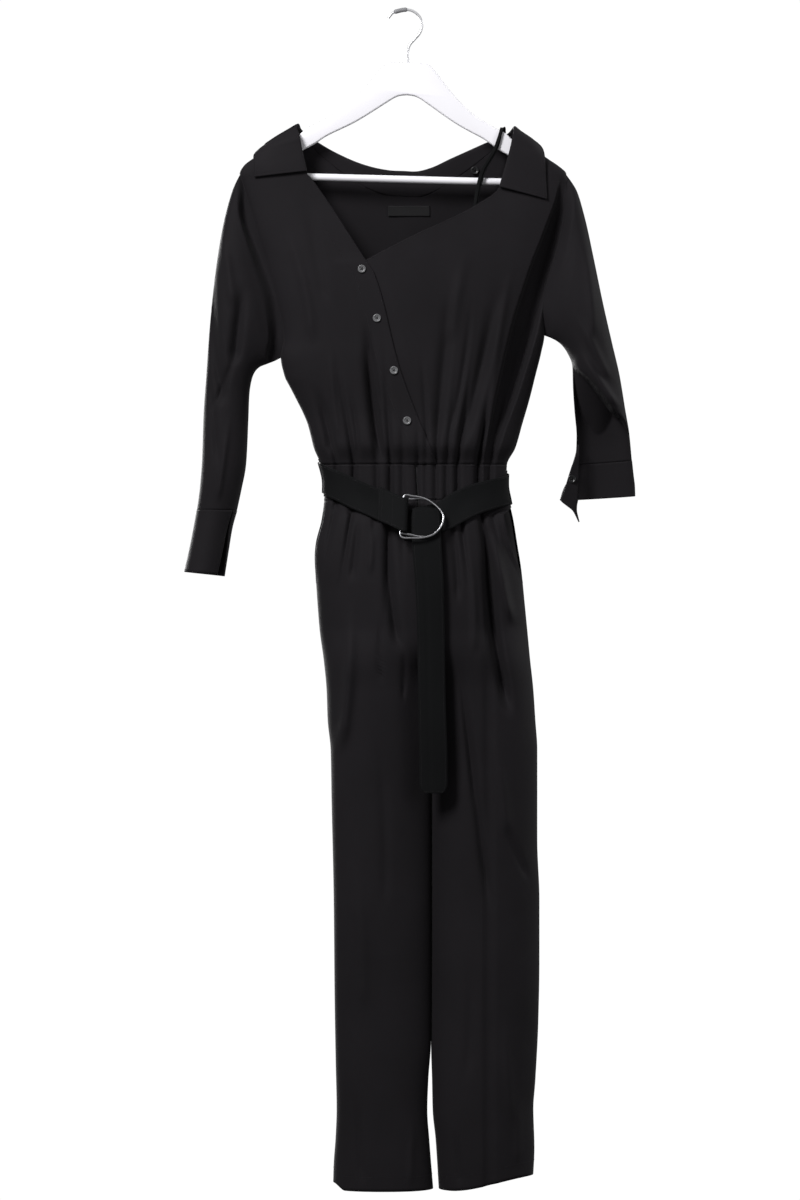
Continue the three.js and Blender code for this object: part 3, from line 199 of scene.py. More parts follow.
# Finer creases that only this script adds, in the same columns
CREASES = [
    (FRONT, -56, -440, -34, -560, 2, 3, -1.6), (FRONT, -80, -520, -66, -632, 3, 5, -2.2),
    (FRONT, -104, -470, -92, -600, -3, 5, 1.6), (FRONT, 20, -470, 28, -632, 3, 4, -1.6),
    (FRONT, 92, -400, 60, -600, 5, 5, -2.4), (FRONT, 150, -350, 112, -590, -4, 7, 3),
    (FRONT, 84, -330, 60, -470, 0, 9, 1.6), (FRONT, 116, -560, 100, -634, 0, 4, -2),
    (FRONT, -168, -300, -130, -470, 8, 9, 1.8), (FRONT, -140, -250, -110, -420, 0, 10, -1.2),
    (FRONT, -36, -846, -36, -940, 0, 3, -1.8), (FRONT, -2, -870, -4, -966, 1, 3, -1.8),
    (FRONT, -66, -690, -76, -800, 2, 6, -2.4), (FRONT, -44, -700, -50, -790, 0, 5, 2),
    (FRONT, 62, -700, 72, -830, 3, 5, -2.6), (FRONT, 86, -740, 96, -900, 3, 6, 2.4),
    (FRONT, 73, -900, 97, -1119, 0, 3.5, -1.8), (FRONT, 97, -1100, 116, -1240, 0, 3.5, -1.4),
    (FRONT, 131, -1120, 172, -1215, 0, 5, -2), (FRONT, 118, -1000, 140, -1160, 6, 9, 2),
    (FRONT, -40, -1000, -30, -1260, 6, 8, -1.4), (FRONT, -72, -1180, -60, -1400, 5, 10, 1.4),
    (FRONT, 90, -1300, 84, -1500, 4, 9, -1.2), (FRONT, 140, -1380, 150, -1560, -3, 8, 1.2),
    (FRONT, -70, -1500, -60, -1640, 0, 7, -1.4), (FRONT, 10, -1540, 6, -1644, 0, 6, 1),
    (FRONT, 70, -1560, 76, -1640, 0, 6, -1.2), (FRONT, 160, -1500, 156, -1630, 0, 7, 1.2),
    (BACK, -110, -250, -90, -420, 4, 10, -2), (BACK, 20, -290, 10, -480, 0, 12, 1.6),
    (BACK, 120, -260, 100, -430, -4, 10, -2), (BACK, -30, -500, -36, -632, 0, 5, -2),
    (BACK, 96, -520, 92, -632, 0, 5, -2.2), (BACK, -96, -560, -88, -632, 0, 5, -2),
    (BACK, -90, -760, -84, -1000, 5, 8, -3), (BACK, 132, -740, 142, -980, -5, 8, -3),
    (BACK, -30, -860, -52, -1040, 0, 6, -2.4), (BACK, 60, -860, 84, -1040, 0, 6, -2.4),
    (BACK, -60, -1060, -50, -1320, 6, 9, 2), (BACK, 116, -1080, 106, -1340, 6, 9, 2),
    (BACK, -20, -1200, -40, -1480, 0, 7, -1.6), (BACK, 150, -1240, 140, -1500, 0, 7, -1.6),
    (FRONT, -258, -300, -238, -420, 0, 8, 2.4), (FRONT, -280, -470, -262, -640, 3, 6, -2),
    (FRONT, -244, -560, -262, -690, 0, 5, 2), (FRONT, -232, -470, -268, -560, 0, 6, -2.6),
    (FRONT, 246, -300, 262, -470, 4, 9, 2.6), (FRONT, 236, -420, 286, -520, 0, 8, 2.6),
    (FRONT, 240, -470, 300, -560, -3, 8, 4), (FRONT, 292, -590, 300, -640, 0, 6, -2),
    (FRONT, 252, -560, 268, -640, 0, 6, -2.4), (FRONT, 274, -360, 292, -500, 0, 8, -1.6),
    (BACK, -240, -380, -266, -560, 0, 8, -3), (BACK, -270, -560, -276, -690, 0, 7, 2),
    (BACK, 240, -400, 300, -520, 0, 9, -4), (BACK, 280, -540, 292, -640, 0, 7, 2),
]
SLEEVES = {
    "right": [
        (-231.7, -226.8, -174.3, -483, 20), (-241, -248, -182, -487.5, 25), (-253, -290, -193, -492, 32),
        (-265, -360, -205, -497, 35), (-273.5, -440, -214, -509, 35), (-278.5, -510, -219, -535, 34),
        (-282, -560, -220.5, -572, 34), (-284.5, -630, -223.5, -632, 34), (-288, -672, -230, -668, 33),
        (-291.5, -697, -236.5, -698, 32),
    ],
    "left": [
        (224.7, -226.8, 194, -452, 20), (239, -250, 206, -457, 25), (251, -290, 217, -464, 31),
        (264, -350, 227, -477, 34), (276, -408, 234, -496, 35), (289, -465, 235, -526, 35),
        (299, -508, 237, -557, 35), (307, -556, 240, -592, 35), (313, -592, 239.5, -612, 35),
        (316.4, -628, 234, -634, 34),
    ],
}
CUFFS = {
    "right": [
        (-291.5, -697.1, -236.5, -698.1, 32, 145, 2), (-296, -722, -243, -722, 33, 145, 4),
        (-301.5, -750, -248, -752, 34, 147, 9), (-309, -784, -254, -790, 36, 148, 15),
    ],
    "left": [
        (316.4, -628.1, 234, -634.1, 34, 163, 2), (318.6, -648, 230, -653, 35, 163, 4),
        (320.5, -664, 222, -668, 36, 163, 9), (321, -678, 217, -684, 37, 163, 14),
    ],
}
ARM_TUCK = 1.2
TUCK_FADE = 0.2
ARM_VALLEY = {"right": 16.5, "left": 1}
ARM_SINK = {"right": 0.05, "left": 0.9}
ARM_RISE = {"right": 5, "left": 12}
ARM_NARROW = (-236, 60, 0.35)


def read(table, value, column=1):
    """A table's column at each value of its first column: smooth, without overshoot."""
    data = np.array(table, float)
    key, y = data[:, 0], data[:, column]
    if key[0] > key[-1]:
        key, y = key[::-1], y[::-1]
    value = np.asarray(value, float)
    step = np.diff(key)
    slope = np.diff(y) / step
    tangent = np.empty(len(key))
    tangent[0], tangent[-1] = slope[0], slope[-1]
    before, after = slope[:-1], slope[1:]
    total = np.where(np.abs(before + after) < 1e-12, 1, before + after)
    tangent[1:-1] = np.where(before * after <= 0, 0, 2 * before * after / total)
    i = np.clip(np.searchsorted(key, value, side="right") - 1, 0, len(step) - 1)
    t = np.clip((value - key[i]) / step[i], 0, 1)
    h1 = t * t * (3 - 2 * t)
    h2 = t * t * t - 2 * t * t + t
    h3 = t * t * t - t * t
    return y[i] * (1 - h1) + y[i + 1] * h1 + step[i] * (h2 * tangent[i] + h3 * tangent[i + 1])


def smooth(t):
    c = np.clip(t, 0, 1)
    return c * c * (3 - 2 * c)


def mix(a, b, t):
    return a + (b - a) * t


LONG_RIPPLE = 0.55
SHORT_RIPPLE = 0.22


def ripple(x, z):
    """Soft unevenness of hung cloth, under a millimetre."""
    long_waves = np.sin(x / 19 + 1.4 * np.sin(z / 83) + 0.6) * np.sin(z / 131 + x / 210)
    short_waves = np.sin(x / 8.3 + z / 47 + 2 * np.sin(z / 39)) * np.sin(z / 57 + 1.7 + x / 60)
    return LONG_RIPPLE * long_waves + SHORT_RIPPLE * short_waves


def valley(table, x, z):
    near_side, far_side = VALLEY_SIDES
    near = x - read(table, z, 1)
    far = near - read(table, z, 2)
    return -read(table, z, 3) * smooth((near + 1) / near_side) * (1 - smooth(far / far_side))


def shelf(x, z):
    below = read(SHELF, x, 1) - z
    lean = SHELF_SLOPE[0] * np.maximum(x - SHELF_TOP[0], 0)
    lean = lean + SHELF_SLOPE[1] * np.maximum(SHELF_TOP[1] - z, 0)
    start, reach = SHELF_START
    return -(read(SHELF, x, 2) + lean) * smooth((below + 1) / SHELF_EDGE) * smooth((x - start) / reach)


def relief(side, x, z, fine=True):
    """How far folds move the cloth out, as in the solids or with the finer folds of this script."""
    out = np.zeros(np.broadcast(x, z).shape)
    gain = FINE_GAIN if fine else 1
    slim = FINE_SLIM if fine else 1
    start_share, end_share = FINE_FADE if fine else PLAIN_FADE
    above = np.maximum(z - WAIST_SEAM, 0)
    below = np.maximum(BAND_BOTTOM - z, 0)
    for place, lean, up, down, width, depth in GATHERS[side]:
        path = place + lean * (above + below)
        strength = np.exp(-((above / up) ** 2) - (below / down) ** 2)
        uneven = (depth / EVEN_DEPTH) ** EVEN_POWER if fine else 1
        out -= gain * uneven * depth * strength * np.exp(-(((x - path) / (width * slim)) ** 2))
    for fold_side, x1, z1, x2, z2, bow, width, height in FOLDS + (CREASES if fine else []):
        if fold_side != side:
            continue
        t = np.clip((z1 - z) / (z1 - z2), 0, 1)
        path = mix(x1, x2, t) + bow * 4 * t * (1 - t)
        strength = smooth(t / start_share) * smooth((1 - t) / end_share)
        out += gain * height * strength * np.exp(-(((x - path) / (width * slim)) ** 2))
    if fine:
        out += ripple(x, z + 37 * side)
        out += valley(VALLEY_FRONT if side == FRONT else VALLEY_BACK, x, z)
        if side == FRONT:
            out += shelf(x, z)
    return out


def armhole_depth(half, z):
    top, bottom, depth = ARMHOLES[half]
    t = np.clip((top - z) / (top - bottom), 0, 1)
    return depth * np.sin(np.pi * t) ** ARMHOLE_POWER


def across(angle):
    c = np.cos(angle)
    return -np.sign(c) * np.abs(c) ** (2 / SOFTNESS)


def section(half, side, z):
    """Edge, inner line, start and end angle and depth of a half of the body at each height."""
    z = np.asarray(z, float)
    left = half == "left"
    edge = read(EDGE_LEFT if left else EDGE_RIGHT, z)
    inner = np.where(z < FORK, read(INNER_LEFT if left else INNER_RIGHT, z), read(MIDDLE, z))
    depth = read(DEPTHS, z, 1 if side == FRONT else 2)
    start = np.arcsin((armhole_depth(half, z) / depth) ** (SOFTNESS / 2))
    end = np.pi / 2 + smooth((FORK + FORK_BLEND - z) / FORK_BLEND) * (np.pi / 2)
    return edge, inner, start, end, depth


def half_point(half, side, turn, z, creased=True, fine=True):
    turn, z = np.broadcast_arrays(np.asarray(turn, float), np.asarray(z, float))
    edge, inner, start, end, depth = section(half, side, z)
    angle = mix(start, end, turn)
    share = (across(angle) - across(start)) / (across(end) - across(start))
    x = mix(edge, inner, share)
    out = depth * np.abs(np.sin(angle)) ** (2 / SOFTNESS)
    if creased:
        out = out + smooth(np.sin(angle) / RELIEF_FADE) * relief(side, x, z, fine)
    return np.stack([x, side * (out + SEAM * smooth(out / SEAM_CLOSING)), z], axis=-1)


def turn_at(half, side, x, z):
    edge, inner, start, end, _ = section(half, side, z)
    share = np.clip((x - edge) / (inner - edge), 0, 1)
    a = mix(across(start), across(end), share)
    angle = np.arccos(np.clip(-np.sign(a) * np.abs(a) ** (SOFTNESS / 2), -1, 1))
    return np.clip((angle - start) / (end - start), 0, 1)


TURN_STEP = 0.02
FALL_STEP = 2


def body_point(side, x, z, lift=0.0, creased=True, fine=True):
    """Points of the body above the fork from x and height, moved out from the cloth by lift."""
    x, z, lift = np.broadcast_arrays(np.asarray(x, float), np.asarray(z, float), np.asarray(lift, float))
    point = np.zeros(x.shape + (3,))
    right = x < read(MIDDLE, z)
    for half, chosen in (("right", right), ("left", ~right)):
        turn = turn_at(half, side, x, z)
        here = half_point(half, side, turn, z, creased, fine)
        step = np.where(turn > 0.5, -TURN_STEP, TURN_STEP)
        along = (half_point(half, side, turn + step, z, creased, fine) - here) * np.sign(step)[..., None]
        down = half_point(half, side, turn, z - FALL_STEP, creased, fine) - here
        normal = np.cross(along, down)
        normal /= np.linalg.norm(normal, axis=-1, keepdims=True)
        if (half == "right") != (side == BACK):
            normal = -normal
        moved = here + normal * lift[..., None]
        point = np.where(chosen[..., None], moved, point)
    return point


def line(start, stop, step):
    return np.linspace(start, stop, max(2, int(round(abs(stop - start) / step)) + 1))


# Meshes
GRIDS = {}


def grid_faces(rows, columns, wrap=False, closed=False):
    """Faces of a grid of points: wrap joins the last column to the first, closed the last row."""
    index = np.arange(rows * columns).reshape(rows, columns)
    if wrap:
        index = np.concatenate([index, index[:, :1]], axis=1)
    if closed:
        index = np.concatenate([index, index[:1]])
    corners = [index[:-1, :-1], index[1:, :-1], index[1:, 1:], index[:-1, 1:]]
    return np.stack(corners, axis=-1).reshape(-1, 4)


def mesh_of(name, points, faces):
    mesh = bpy.data.meshes.new(name)
    mesh.from_pydata((np.reshape(points, (-1, 3)) * MM).tolist(), [], faces)
    mesh.update()
    return mesh


def make(name, grid, material, wrap=False, thickness=CLOTH, nodes=()):
    """A piece from a grid of points, as a thin shell that stands for CAD nodes."""
    GRIDS[name] = grid
    rows, columns = grid.shape[:2]
    faces = grid_faces(rows, columns, wrap)
    mesh = mesh_of(name, grid, faces.tolist())
    steps = np.linalg.norm(np.diff(grid, axis=1), axis=2)
    u = np.concatenate([np.zeros((rows, 1)), np.cumsum(steps, axis=1)], axis=1)
    falls = np.linalg.norm(np.diff(grid, axis=0), axis=2)
    v = np.concatenate([np.zeros((1, columns)), np.cumsum(falls, axis=0)], axis=0)
    coordinates = np.stack([u, v], axis=-1).reshape(-1, 2) * MM
    layer = mesh.uv_layers.new(name="cut")
    layer.data.foreach_set("uv", coordinates[faces.reshape(-1)].astype(np.float32).ravel())
    finish_piece(name, mesh, material, thickness, nodes)


def finish_piece(name, mesh, material, thickness=0.0, nodes=()):
    mesh.polygons.foreach_set("use_smooth", [True] * len(mesh.polygons))
    mesh.materials.append(material)
    piece = bpy.data.objects.new(name, mesh)
    bpy.context.scene.collection.objects.link(piece)
    if thickness:
        shell = piece.modifiers.new("thickness", "SOLIDIFY")
        shell.thickness = thickness * MM
        shell.offset = 0
    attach(piece, "root")
    if nodes:
        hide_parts(*nodes)
    return piece


def node_material(name, color, roughness):
    material = bpy.data.materials.new(name)
    material.use_nodes = True
    shader = material.node_tree.nodes["Principled BSDF"]
    shader.inputs["Base Color"].default_value = (*color, 1)
    shader.inputs["Roughness"].default_value = roughness
    return material, material.node_tree, shader


def add_node(tree, kind, values):
    node = tree.nodes.new("ShaderNode" + kind)
    for socket, value in values.items():
        node.inputs[socket].default_value = value
    return node


def add_bump(tree, shader, height, strength, distance):
    bump = add_node(tree, "Bump", {"Strength": strength, "Distance": distance * MM})
    tree.links.new(height, bump.inputs["Height"])
    tree.links.new(bump.outputs["Normal"], shader.inputs["Normal"])


SHEEN_ROUGHNESS = 0.45
CLOTH_SPECULAR = 0.09
CLOTH_BUMP = 0.35
# Wave textures have 20 / (2 pi) bands for each unit of scale
WAVE_BANDS = 20 / (2 * math.pi)
# Stops of the cloth's faint clouds: place, share of its colour
CLOUD_TONES = [(0.3, 0.86), (0.75, 1.16)]


def cloth_material(name, color, roughness, thread_mm, sheen, weave_depth, cut=True):
    """Woven cloth: threads both ways from the cut's own coordinates, or a thread's twist in the object's."""
    material, tree, shader = node_material(name, color, roughness)
    shader.inputs["Sheen Weight"].default_value = sheen
    shader.inputs["Sheen Roughness"].default_value = SHEEN_ROUGHNESS
    shader.inputs["Specular IOR Level"].default_value = CLOTH_SPECULAR
    links = tree.links
    space = add_node(tree, "TexCoord", {})
    weave_place = space.outputs["Object"]
    if cut:
        unwrapped = add_node(tree, "UVMap", {})
        unwrapped.uv_map = "cut"
        weave_place = unwrapped.outputs["UV"]
    weave = add_node(tree, "Math", {})
    weave.operation = "MAXIMUM"
    scale = 1 / (WAVE_BANDS * thread_mm * MM)
    for i, axis in enumerate("XY"):
        wave = add_node(tree, "TexWave", {"Scale": scale, "Distortion": 0.4, "Detail": 1})
        wave.bands_direction = axis
        links.new(weave_place, wave.inputs["Vector"])
        links.new(wave.outputs["Fac"], weave.inputs[i])
    cloud = add_node(tree, "TexNoise", {"Scale": 9, "Detail": 5})
    links.new(space.outputs["Object"], cloud.inputs["Vector"])
    tone = add_node(tree, "ValToRGB", {})
    for stop, (place, share) in zip(tone.color_ramp.elements, CLOUD_TONES):
        stop.position = place
        stop.color = (*[c * share for c in color], 1)
    links.new(cloud.outputs["Fac"], tone.inputs["Fac"])
    links.new(tone.outputs["Color"], shader.inputs["Base Color"])
    add_bump(tree, shader, weave.outputs[0], CLOTH_BUMP, weave_depth)
    return material


CLOTH_COLOR = (0.0094, 0.0083, 0.0098)
cloth = cloth_material("black_cloth", CLOTH_COLOR, 0.75, 0.5, 0.03, 0.12)
facing = cloth_material("dark_facing", (0.0070, 0.0063, 0.0073), 0.8, 0.5, 0.01, 0.12)
webbing = cloth_material("belt_cloth", (0.0034, 0.0036, 0.0040), 0.78, 1.1, 0.02, 0.3)
label_cloth = cloth_material("label_cloth", (0.0125, 0.0122, 0.0130), 0.5, 0.35, 0.06, 0.1)
thread_cloth = cloth_material("thread", (0.0125, 0.0112, 0.0130), 0.6, 0.3, 0.05, 0.05, cut=False)
button_thread = cloth_material("button_thread", (0.004, 0.004, 0.004), 0.7, 0.3, 0.02, 0.05, cut=False)


HARD_BUMP = 0.12
HARD_GRAIN = 0.1
GLOSS_SPREAD = (0.8, 1.25)


def scratched(name, color, roughness, metallic, scale):
    """Hard finish with slight variation in gloss and a fine uneven surface."""
    material, tree, shader = node_material(name, color, roughness)
    shader.inputs["Metallic"].default_value = metallic
    space = add_node(tree, "TexCoord", {})
    grain = add_node(tree, "TexNoise", {"Scale": scale, "Detail": 6})
    least, most = GLOSS_SPREAD
    spread = add_node(tree, "MapRange", {"To Min": roughness * least, "To Max": roughness * most})
    tree.links.new(space.outputs["Object"], grain.inputs["Vector"])
    tree.links.new(grain.outputs["Fac"], spread.inputs["Value"])
    tree.links.new(spread.outputs["Result"], shader.inputs["Roughness"])
    add_bump(tree, shader, grain.outputs["Fac"], HARD_BUMP, HARD_GRAIN)
    return material


ring_metal = scratched("dark_nickel", (0.36, 0.36, 0.375), 0.3, 1.0, 300)
hook_metal = scratched("bright_wire", (0.6, 0.6, 0.62), 0.3, 0.35, 300)
button_plastic = scratched("button_grey", (0.12, 0.12, 0.125), 0.3, 0.0, 400)
button_black = scratched("button_black", (0.008, 0.008, 0.009), 0.25, 0.0, 400)
grip_rubber = scratched("grip_rubber", (0.2, 0.2, 0.21), 0.45, 0.0, 300)
lacquer = scratched("white_lacquer", (0.8, 0.79, 0.83), 0.42, 0.0, 60)

# Bodice
ROW_STEP = 4.0
BODY_COLUMNS = 100
FRONT_COLUMNS = 130
FRONT_TOPS = {"right": -168.5, "left": -172.0}


def wide(u):
    """Spacing that is close at the side seam, where the cloth turns."""
    return 1 - np.cos(np.pi / 2 * u)


OVERLAP_LIFT = 0.9
OVERLAP_FADE = 14
UPPER_TOP = -350
UPPER_REACH = 52
LOWER_TOP = -300
LOWER_REACH = 18
PLACKET_TOP = -345
PLACKET_WIDTH = 30
PLACKET_STEP = 0.45
PLACKET_FADE = 3


def upper_shift(x, z):
    inside = x - read(UPPER_EDGE, z)
    overlap = np.where(z > UPPER_TOP, 0, OVERLAP_LIFT * smooth((inside + UPPER_REACH) / OVERLAP_FADE))
    at_band = (inside + PLACKET_WIDTH + PLACKET_FADE / 2) / PLACKET_FADE
    return overlap + np.where(z > PLACKET_TOP, 0, PLACKET_STEP * smooth(at_band))


def lower_shift(x, z):
    covered = read(UPPER_EDGE, z) + LOWER_REACH - x
    return np.where(z > LOWER_TOP, 0, OVERLAP_LIFT * smooth(covered / OVERLAP_FADE))


def front_grid(half, free, shift, sign):
    z = line(FRONT_TOPS[half], WAIST_SEAM - SEAM_STEP, ROW_STEP)[:, None]
    u = line(0, 1, 1 / FRONT_COLUMNS)[None, :]
    edge = read(EDGE_RIGHT if half == "right" else EDGE_LEFT, z)
    x = edge + (read(free, z) - edge) * wide(u)
    z = np.broadcast_to(z, x.shape)
    grid = body_point(FRONT, x, z)
    grid[..., 1] += sign * shift(grid[..., 0], z)
    return grid


make("front_right_shell", front_grid("right", UPPER_EDGE, upper_shift, -1), cloth, nodes=["front_right"])
make("front_left_shell", front_grid("left", LOWER_EDGE, lower_shift, 1), cloth, nodes=["front_left"])

BACK_JOIN = -300
BACK_COLUMNS = 200
BACK_ROWS = 24
BACK_SPREAD = 1.3
SHOULDER_SHARE = 0.2
SHOULDER_Z = {"right": UPPER_EDGE[0][0], "left": LOWER_EDGE[0][0]}
NECK_OVERLAP = 1.5
NECK_FADE = 20
NECK_REACH = (-149, 152)


def back_grid():
    u = (1 - np.cos(np.pi * line(0, 1, 1 / BACK_COLUMNS))) / 2
    arm_z = ARMHOLES["right"][0]
    right_z = mix(arm_z, SHOULDER_Z["right"], np.clip(u / SHOULDER_SHARE, 0, 1))
    left_z = mix(arm_z, SHOULDER_Z["left"], np.clip((1 - u) / SHOULDER_SHARE, 0, 1))
    across_neck = np.clip((u - SHOULDER_SHARE) / (1 - 2 * SHOULDER_SHARE), 0, 1)
    neck_x = mix(UPPER_EDGE[0][1], LOWER_EDGE[0][1], across_neck)
    on_right, on_left = u < SHOULDER_SHARE, u > 1 - SHOULDER_SHARE
    top_x = np.where(on_right, read(EDGE_RIGHT, right_z), np.where(on_left, read(EDGE_LEFT, left_z), neck_x))
    from_ends = np.minimum(neck_x - NECK_REACH[0], NECK_REACH[1] - neck_x)
    neck_z = read(BACK_NECK, neck_x) + NECK_OVERLAP * smooth(from_ends / NECK_FADE)
    top_z = np.where(on_right, right_z, np.where(on_left, left_z, neck_z))
    join_x = mix(read(EDGE_RIGHT, BACK_JOIN), read(EDGE_LEFT, BACK_JOIN), u)
    v = line(0, 1, 1 / BACK_ROWS)[:, None] ** BACK_SPREAD
    z = mix(top_z, BACK_JOIN, v)
    x = np.clip(mix(top_x, join_x, v), read(EDGE_RIGHT, z), read(EDGE_LEFT, z))
    low_z = line(BACK_JOIN - ROW_STEP, WAIST_SEAM - SEAM_STEP, ROW_STEP)[:, None]
    low_x = mix(read(EDGE_RIGHT, low_z), read(EDGE_LEFT, low_z), u)
    z = np.concatenate([z, np.broadcast_to(low_z, low_x.shape)])
    return body_point(BACK, np.concatenate([x, low_x]), z)


make("back_shell", back_grid(), cloth, nodes=["back"])


BAND_TOP = WAIST_SEAM - 0.2
BAND_STEP = 3


def band_grid():
    z = line(BAND_TOP, BAND_BOTTOM, BAND_STEP)[:, None]
    t = line(0, 1, 1 / BODY_COLUMNS)
    parts = [
        half_point("right", FRONT, t, z), half_point("left", FRONT, 1 - t, z),
        half_point("left", BACK, t, z), half_point("right", BACK, 1 - t, z),
    ]
    return np.concatenate([p[:, (0 if k in (0, 1, 3) else 1):] for k, p in enumerate(parts)], axis=1)


make("waistband_shell", band_grid(), cloth, wrap=True, nodes=["waistband"])

# Trousers
POCKET_TOP = -692
POCKET_BOTTOM = -800
POCKET_MOUTH = {"left": 0.3, "right": 0.12}
MOUTH_TUCK = 5
FACING_START = 0.02
FACING_REACH = 0.2
FACING_SHIFT = {"right": [2, 3.3, 0], "left": [-2.4, 8.6, 0]}
LEG_TOP = BAND_BOTTOM - 0.15
LEG_STEP = 5
HEM = -1646
HEM_START = -1500
GROOVE_DEPTH = 0.9
GROOVE_WIDTH = 0.025
GROOVE_END = (FORK + 20, 40)
# How much the hem rises towards the outer seam, where that starts and how far it goes on
HEM_RISE = {"right": (9, -84, -16), "left": (20, 60, 120)}
MOUTH_START = 0.12
MOUTH_FADE = 0.15


def hem_rise(half, x):
    height, start, reach = HEM_RISE[half]
    return height * smooth((x - start) / reach)


def mouth(half, z):
    t = np.clip((POCKET_TOP - z) / (POCKET_TOP - POCKET_BOTTOM), 0, 1)
    return POCKET_MOUTH[half] * smooth(t / MOUTH_START) * (1 - t**3) * (t < 1)


def leg_grid(half, side):
    z = line(LEG_TOP, HEM, LEG_STEP)[:, None]
    t = line(0, 1, 1 / BODY_COLUMNS)[None, :]
    start = mouth(half, z) if side == FRONT else 0 * z
    point = half_point(half, side, mix(start, 1, t), z)
    above_fork = smooth((z - GROOVE_END[0]) / GROOVE_END[1])
    groove = GROOVE_DEPTH * smooth((t - 1 + GROOVE_WIDTH) / GROOVE_WIDTH) * above_fork
    point[..., 1] -= side * groove
    point[..., 1] -= MOUTH_TUCK * (1 - smooth(t / MOUTH_FADE)) * (start / POCKET_MOUTH["left"])
    point[..., 2] += hem_rise(half, point[..., 0]) * smooth((HEM_START - z) / (HEM_START - HEM))
    return point


for half in ("right", "left"):
    for side, word in ((FRONT, "front"), (BACK, "back")):
        node = f"leg_{word}_{half}"
        make(node + "_shell", leg_grid(half, side), cloth, nodes=[node])

for half in ("right", "left"):
    z = line(POCKET_TOP - 4, POCKET_BOTTOM - 6, 4)[:, None]
    u = line(0, 1, 1 / 16)[None, :]
    grid = half_point(half, FRONT, mix(FACING_START, POCKET_MOUTH[half] + FACING_REACH, u), z)
    grid = grid + np.array(FACING_SHIFT[half])
    make(f"pocket_{half}_shell", grid, facing, nodes=["pocket_" + half])


# Sleeves and cuffs
def sleeve_grid(half, table, steps, angles, joined):
    """A tube of cloth from a table: a joined one starts on the armhole, and another is open at its slit."""
    rows = np.array(table, float)
    s = line(0, len(rows) - 1, 1 / steps)
    keyed = [(i, *row) for i, row in enumerate(table)]
    outer_x, outer_z, inner_x, inner_z, depth = [read(keyed, s, k)[:, None] for k in range(1, 6)]
    if not joined:
        slit, opening = [np.radians(read(keyed, s, k))[:, None] for k in (6, 7)]
        angle = slit + opening + angles[None, :] * (2 * np.pi - 2 * opening)
    else:
        angle = 2 * np.pi * angles[None, :] + 0 * outer_x
    v = (1 - np.cos(angle)) / 2
    x, z = mix(outer_x, inner_x, v), mix(outer_z, inner_z, v)
    sine = np.abs(np.sin(angle))
    side = np.where(np.sin(angle) >= 0, FRONT, BACK)
    bump = np.where(side == FRONT, relief(FRONT, x, z), relief(BACK, x, z))
    base = depth * sine ** (2 / SOFTNESS)
    y = side * np.maximum(base + smooth(sine / RELIEF_FADE) * bump, -SUNK_SHARE * base)
    grid = np.stack([x, y, z], axis=-1)
    if joined:
        top, bottom, _ = ARMHOLES[half]
        arm_z = mix(top, bottom, v[:1])
        away = -1 if half == "right" else 1
        front = half_point(half, FRONT, 0, arm_z)
        rear = half_point(half, BACK, 0, arm_z)
        arm = np.where((side[:1] == FRONT)[..., None], front, rear)
        arm[..., 0] -= away * ARM_TUCK
        arm[..., 1] -= side[:1] * ARM_TUCK * smooth(sine[:1] / TUCK_FADE)
        weight = smooth(s)[:, None]
        line_z = np.clip(z, bottom, top)
        level = side * (armhole_depth(half, line_z) * ARM_SINK[half] + SEAM)
        beside = away * (x - read(EDGE_RIGHT if half == "right" else EDGE_LEFT, line_z))
        below = np.maximum(bottom - z, 0)
        start, reach, least = ARM_NARROW
        valley_width = ARM_VALLEY[half] * mix(least, 1, smooth((start - z) / reach))
        rise = smooth((np.hypot(np.maximum(beside, 0), below) - valley_width) / ARM_RISE[half])
        low = np.minimum(np.abs(y), np.abs(level)) * side
        grid[..., 1] = mix(low, y, rise)
        grid = arm * (1 - weight[..., None]) + grid * weight[..., None]
    return grid


SLEEVE_COLUMNS = 110
SLEEVE_ROWS = 12
CUFF_ROWS = 8
CUFF_CLOTH = 1.8
for half in ("right", "left"):
    ring = line(0, 1, 1 / SLEEVE_COLUMNS)
    grid = sleeve_grid(half, SLEEVES[half], SLEEVE_ROWS, ring[:-1], True)
    make(f"sleeve_{half}_shell", grid, cloth, wrap=True, nodes=["sleeve_" + half])
    grid = sleeve_grid(half, CUFFS[half], CUFF_ROWS, ring, False)
    make(f"cuff_{half}_shell", grid, cloth, thickness=CUFF_CLOTH, nodes=["cuff_" + half])

# Collar, in the same columns as the solids: t, fold x and z, edge x and z, on the seam, lift
COLLAR = [
    (0, -137.9, -225.4, -210.7, -232.4, 0, 1.9), (1, -143.5, -200.2, -211, -213, 0, 1.9),
    (2, -147.7, -176.4, -208, -198, 0, 4), (3, -150.5, -162.4, -202, -190, 0, 5),
    (4, -135, -173.6, -192, -221, 1, 0.4), (5, -122.5, -182, -160, -240, 1, 0),
    (6, -72.1, -207.2, -92, -268, 1, 0), (7, -23.1, -219.8, -28, -284, 1, 0),
    (8, 17.5, -221.2, 19, -286, 1, 0), (9, 62.3, -204.4, 78, -268, 1, 0), (10, 114.1, -182, 150, -242, 1, 0),
    (11, 133, -176.5, 180, -224, 1, 0.4), (12, 150, -165.5, 186.9, -191.8, 0, 5),
    (13, 146.3, -190.4, 193, -208, 0, 4), (14, 139.3, -218.4, 195.3, -236, 0, 1.9),
    (15, 130.9, -247.8, 196.7, -264.6, 0, 1.9),
]
COLLAR_CLOTH = 1.2
COLLAR_FOLD = 3.4
COLLAR_TURN = 2.2
COLLAR_SEAM = 1.7
COLLAR_OVERLAP = 10
# Places across the turned-down part, from the fold to the edge, and how far it falls in towards the edge
COLLAR_FALL = [(0.3, 0), (0.65, 0.6), (1, 1.2)]
COLLAR_RIDGES = (3, 12)


